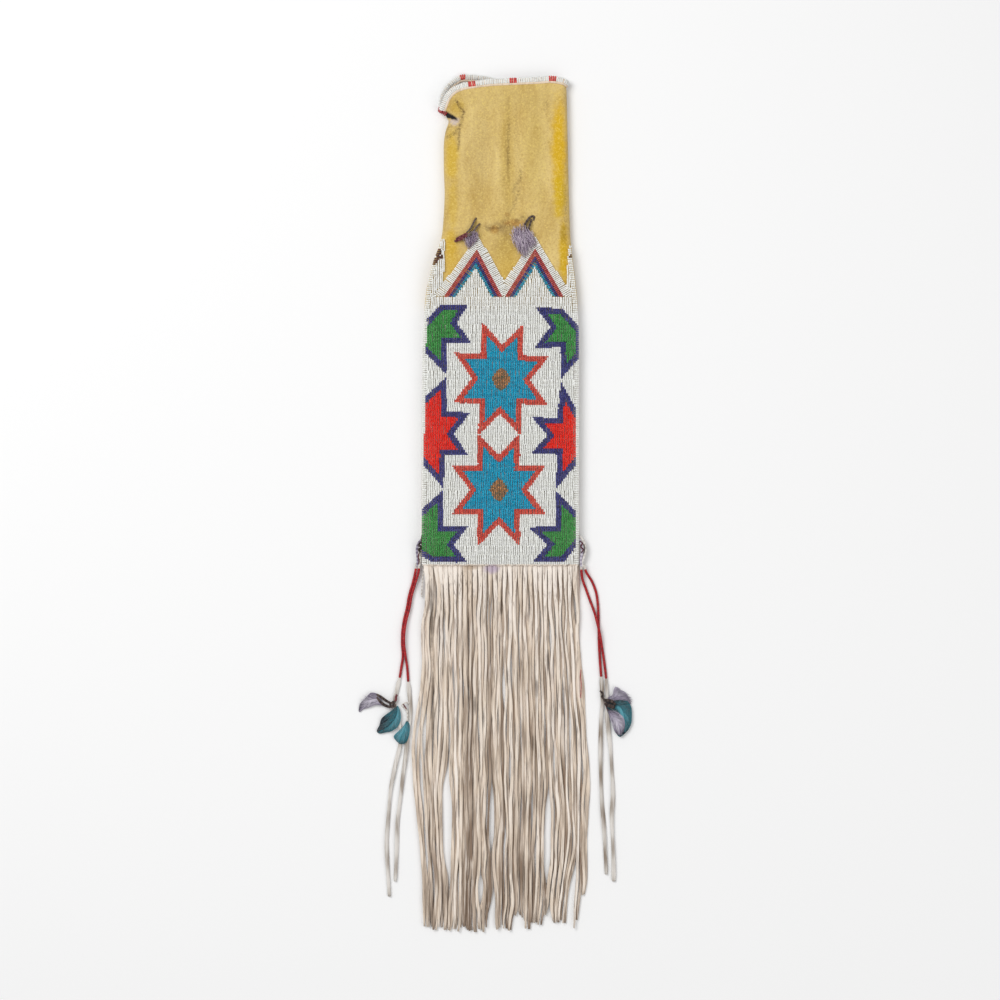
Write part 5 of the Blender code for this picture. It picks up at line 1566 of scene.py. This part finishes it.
def add_barb(skin, start, heading, reach, bend, fall, wide, tones):
    """One barb: a thin three-sided spine that bends towards the feather's tip."""
    rings = []
    steps = len(BARB_TONES) - 1
    place = start.copy()
    for step in range(steps + 1):
        share = step / steps
        side = Vector((-heading.y, heading.x, 0)) * (wide / 2 * (1 - 0.7 * share))
        spot = place - UP * (fall * share * share)
        rings.append([spot + side, spot + UP * BARB_HIGH * (1 - 0.5 * share), spot - side])
        heading = Matrix.Rotation(bend / steps, 3, "Z") @ heading
        place = place + heading * (reach / steps)
    skin.add(rings, tones)


def add_vane(skin, outline, shaft, knots, lean):
    """The closed web of a feather under its loose barbs: strips from the shaft out to the outline."""
    edge, _ = open_curve([Vector((*point, 0)) for point in outline + outline[:1]], VANE_STEP)
    drop, thick = UP * VANE_DROP, UP * VANE_THICK
    rings, tones = [], []
    for place in edge:
        near = min(range(len(shaft)), key=lambda index: (shaft[index].xy - place.xy).length_squared)
        spine = shaft[near]
        ahead = heading_at(shaft, near)
        side = 1 if ahead.x * (place.y - spine.y) - ahead.y * (place.x - spine.x) > 0 else -1
        tip = spine.lerp(Vector((place.x, place.y, spine.z)), 0.97)
        rings.append([spine - drop, tip - drop, tip - drop - thick, spine - drop - thick])
        tones.append(clamped(ramp(near / (len(shaft) - 1), knots) + side * lean * 0.5 - 0.04))
    skin.add(rings, tones)


def build_feather(name, feather):
    """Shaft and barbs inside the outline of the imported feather."""
    chance = random.Random(name)
    outline = in_metres(feather["outline"])
    shaft, _ = open_curve([Vector((x * MM, y * MM, 0)) for x, y in feather["shaft"]], BARB_STEP)
    root = outline[0]
    reach = max((point - root).length for point in outline)
    level = FEATHER_LOW + feather["layer"] * LAYER_STEP + FEATHER_THICK * 0.55
    for point in shaft:
        away = (point.xy - root).length / reach
        point.z = level - feather["droop"] * FEATHER_LOW * max(0.0, away - 0.5) / 0.5
    skin = Skin()
    last = len(shaft) - 1
    knots = [(index / 4, tone) for index, tone in enumerate(feather["tones"])]
    add_vane(skin, outline, shaft, knots, feather["lean"])
    for index, start in enumerate(shaft):
        share = index / last
        ahead = heading_at(shaft, index).normalized()
        for side, layer in ((-1, 0), (-1, 1), (1, 0), (1, 1)):
            angle = side * (math.radians(chance.gauss(50 - 30 * share, 8)))
            heading = Matrix.Rotation(angle, 3, "Z") @ ahead
            far = way_out(start.xy, heading.xy, outline)
            if not far:
                continue
            far = min(far, BARB_LONGEST) * chance.uniform(0.80, 1.06)
            base = ramp(share, knots) + side * feather["lean"] * 0.5 + chance.gauss(0, 0.10) + 0.06 * layer
            place = start + UP * (0.0004 * layer - 0.0003)
            add_barb(skin, place, heading, far, -side * chance.uniform(0.15, 0.5), chance.uniform(0.0002, 0.0012),
                     BARB_WIDE, [clamped(base + change) for change in BARB_TONES])
    skin.add(strip_rings(shaft[::3] + [shaft[-1]], lambda share: SHAFT_WIDE * (1 - 0.8 * share),
                         lambda share: SHAFT_HIGH * (1 - 0.8 * share), sides=6, square=1.0), 0.05)
    return skin.piece(name + "_barbs", MATERIALS[feather["slot"]], feather["slot"], [name])


# Small thongs and knots in millimetres: points with height, thickness, and the material's name
KNOTS = {
    "left_outer": [
        ("tie", [(-109.6, -276.6, 3.4), (-110.6, -279.0, 4.0), (-110.8, -282.2, 4.1), (-112.8, -284.4, 3.6)], 2.8,
         "hide_maroon"),
        ("knot", [(-110.6, -283.6, 4.0), (-114.6, -284.7, 4.6), (-111.6, -287.9, 4.8), (-115.4, -288.6, 4.4),
                  (-117.4, -286.4, 3.8)], 2.6, "hide_dark"),
        ("quill_upper", [(-114.5, -285.7, 5.0), (-119.1, -284.1, 5.0), (-123.1, -281.4, 4.8), (-127.5, -278.2, 4.4),
                         (-131.2, -276.2, 3.8)], 2.8, "hide_dark"),
        ("quill_lower", [(-113.5, -289.0, 4.6), (-118.0, -289.3, 4.8), (-122.0, -287.9, 4.6), (-126.0, -285.2, 4.4),
                         (-128.8, -282.2, 4.2), (-131.0, -279.0, 4.0)], 3.1, "hide_dark"),
    ],
    "left_inner": [
        ("stub", [(-96.8, -285.6, 3.2), (-100.6, -285.2, 4.2), (-104.2, -288.0, 4.2), (-101.6, -290.8, 4.4),
                  (-98.8, -294.2, 4.4), (-98.4, -300.6, 4.6), (-99.1, -304.6, 4.6)], 2.0, "hide_tail"),
        ("stub_knot", [(-103.0, -286.4, 5.2), (-101.2, -288.9, 5.4), (-99.6, -291.8, 5.2)], 1.5, "hide_maroon"),
    ],
    "right_outer": [
        ("knot", [(105.8, -272.5, 3.0), (108.9, -275.6, 4.0), (108.0, -279.1, 4.0), (110.9, -281.2, 3.8)], 2.4,
         "hide_dark"),
        ("ring", [(108.7, -281.0, 4.2), (111.1, -279.9, 4.6), (112.5, -282.2, 4.8), (110.9, -284.4, 4.6),
                  (109.1, -282.9, 4.4)], 0.9, "hide_tail"),
    ],
    "right_inner": [
        ("base_upper", [(109.6, -282.6, 5.0), (114.2, -282.4, 6.6), (118.7, -283.8, 7.0), (122.1, -287.2, 6.6)],
         3.6, "hide_dark"),
        ("base_lower", [(111.4, -286.0, 5.0), (114.6, -287.6, 6.8), (118.0, -288.8, 7.6), (121.2, -289.8, 7.2)],
         4.6, "hide_dark"),
        ("quill", [(109.8, -284.2, 4.6), (111.6, -288.0, 6.4), (113.2, -291.4, 8.0), (113.8, -293.4, 7.6)], 0.8,
         "hide_maroon"),
    ],
}
THONG_STEP = 0.0007
FEATHERS_ON = {
    "left_outer": ["feather_left_plume", "feather_left_teal"],
    "left_inner": ["feather_left_green"],
    "right_outer": [],
    "right_inner": ["feather_right_purple", "feather_right_teal", "feather_right_lower"],
}


def small_thong(name, route, thick, hide, tone=0.5, stands_for=()):
    """A short round thong along a few points, thinner at its ends."""
    path, _ = open_curve(in_metres(route), THONG_STEP)

    def width(share):
        return thick * MM * (0.75 + 0.25 * math.sin(math.pi * share))

    skin = Skin()
    tones = [tone + 0.25 * math.sin(1.1 * index) for index in range(len(path))]
    skin.add(strip_rings(path, width, width, square=0.8), tones)
    return skin.piece(name, MATERIALS[hide], hide if hide in SLOTS else "hide_buff", stands_for)


def dress_tassel(name):
    """Feathers and knots on one tassel thong."""
    pieces = [build_feather(feather, FEATHERS[feather]) for feather in FEATHERS_ON[name]]
    return pieces + [small_thong(f"{name}_{label}", *facts) for label, *facts in KNOTS[name]]


# Thongs at the lower corners, that the tassels hang from
CORNERS = {
    "left": [("pale", [(-84.0, -112.0, 7.8), (-87.2, -117.0, 7.0), (-88.2, -124.0, 6.4), (-87.3, -133.0, 6.0),
                       (-88.4, -140.6, 5.4)], 3.2, "plume_purple", 0.5),
             ("inner", [(-84.2, -118.0, 8.2), (-85.8, -126.0, 7.6), (-84.9, -133.2, 7.0), (-85.9, -140.6, 6.0)],
              2.6, "hide_tail", 0.40),
             ("line", [(-85.8, -125.6, 9.6), (-86.9, -130.5, 9.0), (-86.0, -134.0, 8.4), (-86.6, -138.2, 7.4)], 1.2,
              "hide_maroon", 0.4),
             # The edge thong is the dark line between the beadwork's edge and the loop: painted shade
             ("edge", [(-82.4, -106.2, 10.2), (-83.4, -111.0, 10.6), (-83.0, -117.8, 10.6)], 1.7, "hide_dark", 0.9),
             ("lump", [(-83.2, -114.8, 10.6), (-86.2, -117.2, 10.2), (-83.2, -120.4, 10.8), (-86.4, -122.6, 10.0),
                       (-84.2, -125.2, 9.8)], 2.5, "hide_dark", 0.3)],
    "right": [("outer", [(83.8, -108.0, 8.6), (88.0, -113.2, 7.6), (90.0, -121.7, 6.8), (88.6, -130.5, 6.2),
                         (86.6, -136.6, 5.9), (87.6, -141.0, 5.4)], 3.2, "hide_tail", 0.6),
              ("inner", [(83.6, -111.0, 8.6), (86.0, -118.0, 8.6), (86.6, -125.0, 8.0), (85.2, -133.0, 7.2),
                         (85.9, -140.6, 6.0)], 3.2, "plume_purple", 0.85),
              ("wrap", [(84.4, -113.6, 10.0), (87.0, -115.8, 10.2), (85.2, -119.4, 10.4), (87.8, -122.4, 9.8),
                        (85.6, -125.8, 9.8)], 1.5, "hide_maroon", 0.3),
              ("speck", [(88.4, -117.0, 9.4), (89.4, -120.6, 9.0), (88.2, -127.0, 8.6)], 1.0, "hide_dark", 0.6)],
}


# A stray end of thong beside the fringe, and a red thread that lies along its other edge
STRAYS = [("fringe_stray", [(-80.3, -139.2, 9.6), (-81.7, -149.5, 7.0), (-83.0, -161.1, 4.6), (-83.6, -172.8, 3.2)],
           1.9, "hide_tail"),
          ("fringe_thread", [(85.6, -250.0, 3.4), (85.3, -258.0, 4.6), (85.8, -266.0, 4.6), (85.4, -280.0, 4.4)],
           0.9, "quill_red")]


def build_corners():
    for side, thongs in CORNERS.items():
        for label, *facts in thongs:
            small_thong(f"corner_{side}_{label}", *facts, [f"corner_knot_{side}"])
    for stray in STRAYS:
        small_thong(*stray)


# Ties of the neck: loops of dark thong, and the tufts of purple hair that they hold
TIES = {
    "left": [[(-25.4, 228.2, 13.4), (-27.6, 224.4, 16.0), (-31.1, 217.3, 16.6), (-35.6, 212.4, 17.6)],
             [(-21.5, 222.1, 13.4), (-24.2, 219.3, 16.2), (-27.9, 214.2, 17.2), (-33.1, 209.9, 18.0)],
             [(-36.0, 212.0, 16.8), (-34.2, 209.2, 18.6), (-30.6, 210.4, 18.8), (-32.0, 213.6, 18.0)]],
    "left_arm": [[(-32.2, 211.2, 17.4), (-36.8, 208.0, 18.0), (-42.4, 205.3, 17.2), (-48.2, 203.3, 15.6)],
                 [(-34.6, 211.8, 17.2), (-40.6, 208.4, 17.2), (-46.6, 205.8, 15.8)]],
    "right": [[(28.6, 214.6, 17.2), (26.0, 220.0, 17.2), (28.3, 225.0, 16.2), (31.9, 229.2, 15.0),
               (35.6, 229.8, 14.4), (35.2, 225.6, 13.6)],
              [(33.2, 226.6, 15.4), (31.4, 221.4, 16.8), (29.8, 216.4, 17.6), (28.2, 211.2, 18.2)]],
}
# Thickness in millimetres, material and tone of the ties
TIE_LOOKS = {"left": (2.2, "hide_dark", 0.9), "left_arm": (3.2, "hide_maroon", 0.6),
             "right": (2.4, "hide_dark", 0.7)}
# Tufts: lines that the hairs start on and end on, in millimetres, and how far hairs stray from them
TUFTS = {
    "left": {"from": [(-36.0, 210.0), (-31.0, 214.0), (-24.6, 214.6)],
             "to": [(-35.6, 197.4), (-33.0, 195.6), (-26.2, 201.4)], "low": 16.6, "high": 19.8, "hairs": 230,
             "stray": 1.1, "tone": 0.40},
    "right": {"from": [(14.2, 216.4), (21.0, 219.4), (29.8, 216.4)],
              "to": [(17.6, 199.8), (25.2, 185.2), (36.4, 198.6)], "low": 16.6, "high": 20.8, "hairs": 620,
              "stray": 2.1, "tone": 0.62},
}
HAIR_STEP = 0.0022
HAIR_THICK = (0.00030, 0.0006)


def along_line(points, share):
    """A place on a bent line of three points."""
    start, middle, end = (Vector(point) for point in points)
    return start.lerp(middle, share * 2) if share < 0.5 else middle.lerp(end, share * 2 - 1)


def build_tuft(side, tuft):
    """Dyed hair, each hair a thin bent spine."""
    chance = random.Random(side)
    skin = Skin()
    low, high = tuft["low"], tuft["high"]
    for _ in range(tuft["hairs"]):
        across = chance.random()
        stray = tuft["stray"]
        begin = along_line(tuft["from"], across)
        finish = along_line(tuft["to"], clamped(across + chance.gauss(0, 0.22)))
        begin = begin.lerp(finish, chance.uniform(0.0, 0.6))
        begin += Vector((chance.gauss(0, stray), chance.gauss(0, stray)))
        finish = begin.lerp(finish, chance.uniform(0.35, 1.12)) + Vector((chance.gauss(0, stray), 0))
        height = chance.uniform(low, high - 0.6)
        middle = begin.lerp(finish, 0.5) + Vector((chance.gauss(0, 1.5), chance.gauss(0, 0.8)))
        drop = chance.uniform(0.0, 1.6)
        route = [(begin.x, begin.y, height), (middle.x, middle.y, min(high, height + 0.4)),
                 (finish.x, finish.y, max(low, height - drop))]
        path, _ = open_curve(in_metres(route), HAIR_STEP)
        thick = chance.uniform(*HAIR_THICK)
        tone = random_tone(chance, tuft["tone"], 0.36)
        skin.add(strip_rings(path, lambda share: thick * (1 - 0.6 * share),
                             lambda share: thick * 0.7 * (1 - 0.6 * share), sides=4, square=1.0), tone)
    skin.piece(f"tuft_{side}_hair", MATERIALS["down_purple"], "down_purple", [f"tuft_{side}"])


def build_neck_ties():
    for label, loops in TIES.items():
        stands_for = [f"tie_{label}"] if label in ("left", "right") else []
        for index, route in enumerate(loops):
            small_thong(f"tie_{label}_{index + 1}", route, *TIE_LOOKS[label], stands_for)
    for side, tuft in TUFTS.items():
        build_tuft(side, tuft)


# Plain back: lanes of beads, each a low arch whose crest lies on the floor
BACK_SIDES = {-1: [(-138.1, -81.2), (110.2, -80.4), (141.8, -76.9), (162.9, -74.5), (170.0, -72.5)],
              1: [(-138.1, 81.2), (110.2, 81.2), (141.8, 79.2), (162.9, 76.9), (170.0, 76.0)]}
BACK_TOP = 0.1700
BACK_THICK = 0.0021
BACK_ARCH = 0.0005
BACK_STEPS = 32
LANE_SEAM = 0.00015
SMALLEST_LANE = 0.002


def build_back():
    skin = Skin()
    low = PANEL_LOW + BEAD_INSET
    while low < BACK_TOP - SMALLEST_LANE:
        top = min(low + LANE - LANE_SEAM, BACK_TOP)
        rings = []
        for step in range(BACK_STEPS + 1):
            ring = []
            for share in (0.0, 0.06, 0.25, 0.5, 0.75, 0.94, 1.0):
                y = low + (top - low) * share
                left, right = (ramp(y / MM, BACK_SIDES[side]) * MM for side in (-1, 1))
                x = left + (right - left) * step / BACK_STEPS
                ring.append(Vector((x, y, BACK_ARCH * (2 * share - 1) ** 2)))
            ring += [Vector((x, top, BACK_THICK)), Vector((x, low, BACK_THICK))]
            rings.append(ring)
        skin.add(rings, 0.5)
        low += LANE
    skin.piece("back_lanes", MATERIALS["bead_back"], "bead_white", ["beadwork_back"])


build_corners()
build_neck_ties()
build_back()


def build_tassels():
    for name in WRAPS:
        piece, path = build_tassel(name)
        dress_tassel(name)


build_tassels()


bpy.data.objects.remove(BEAD_SHAPE, do_unlink=True)
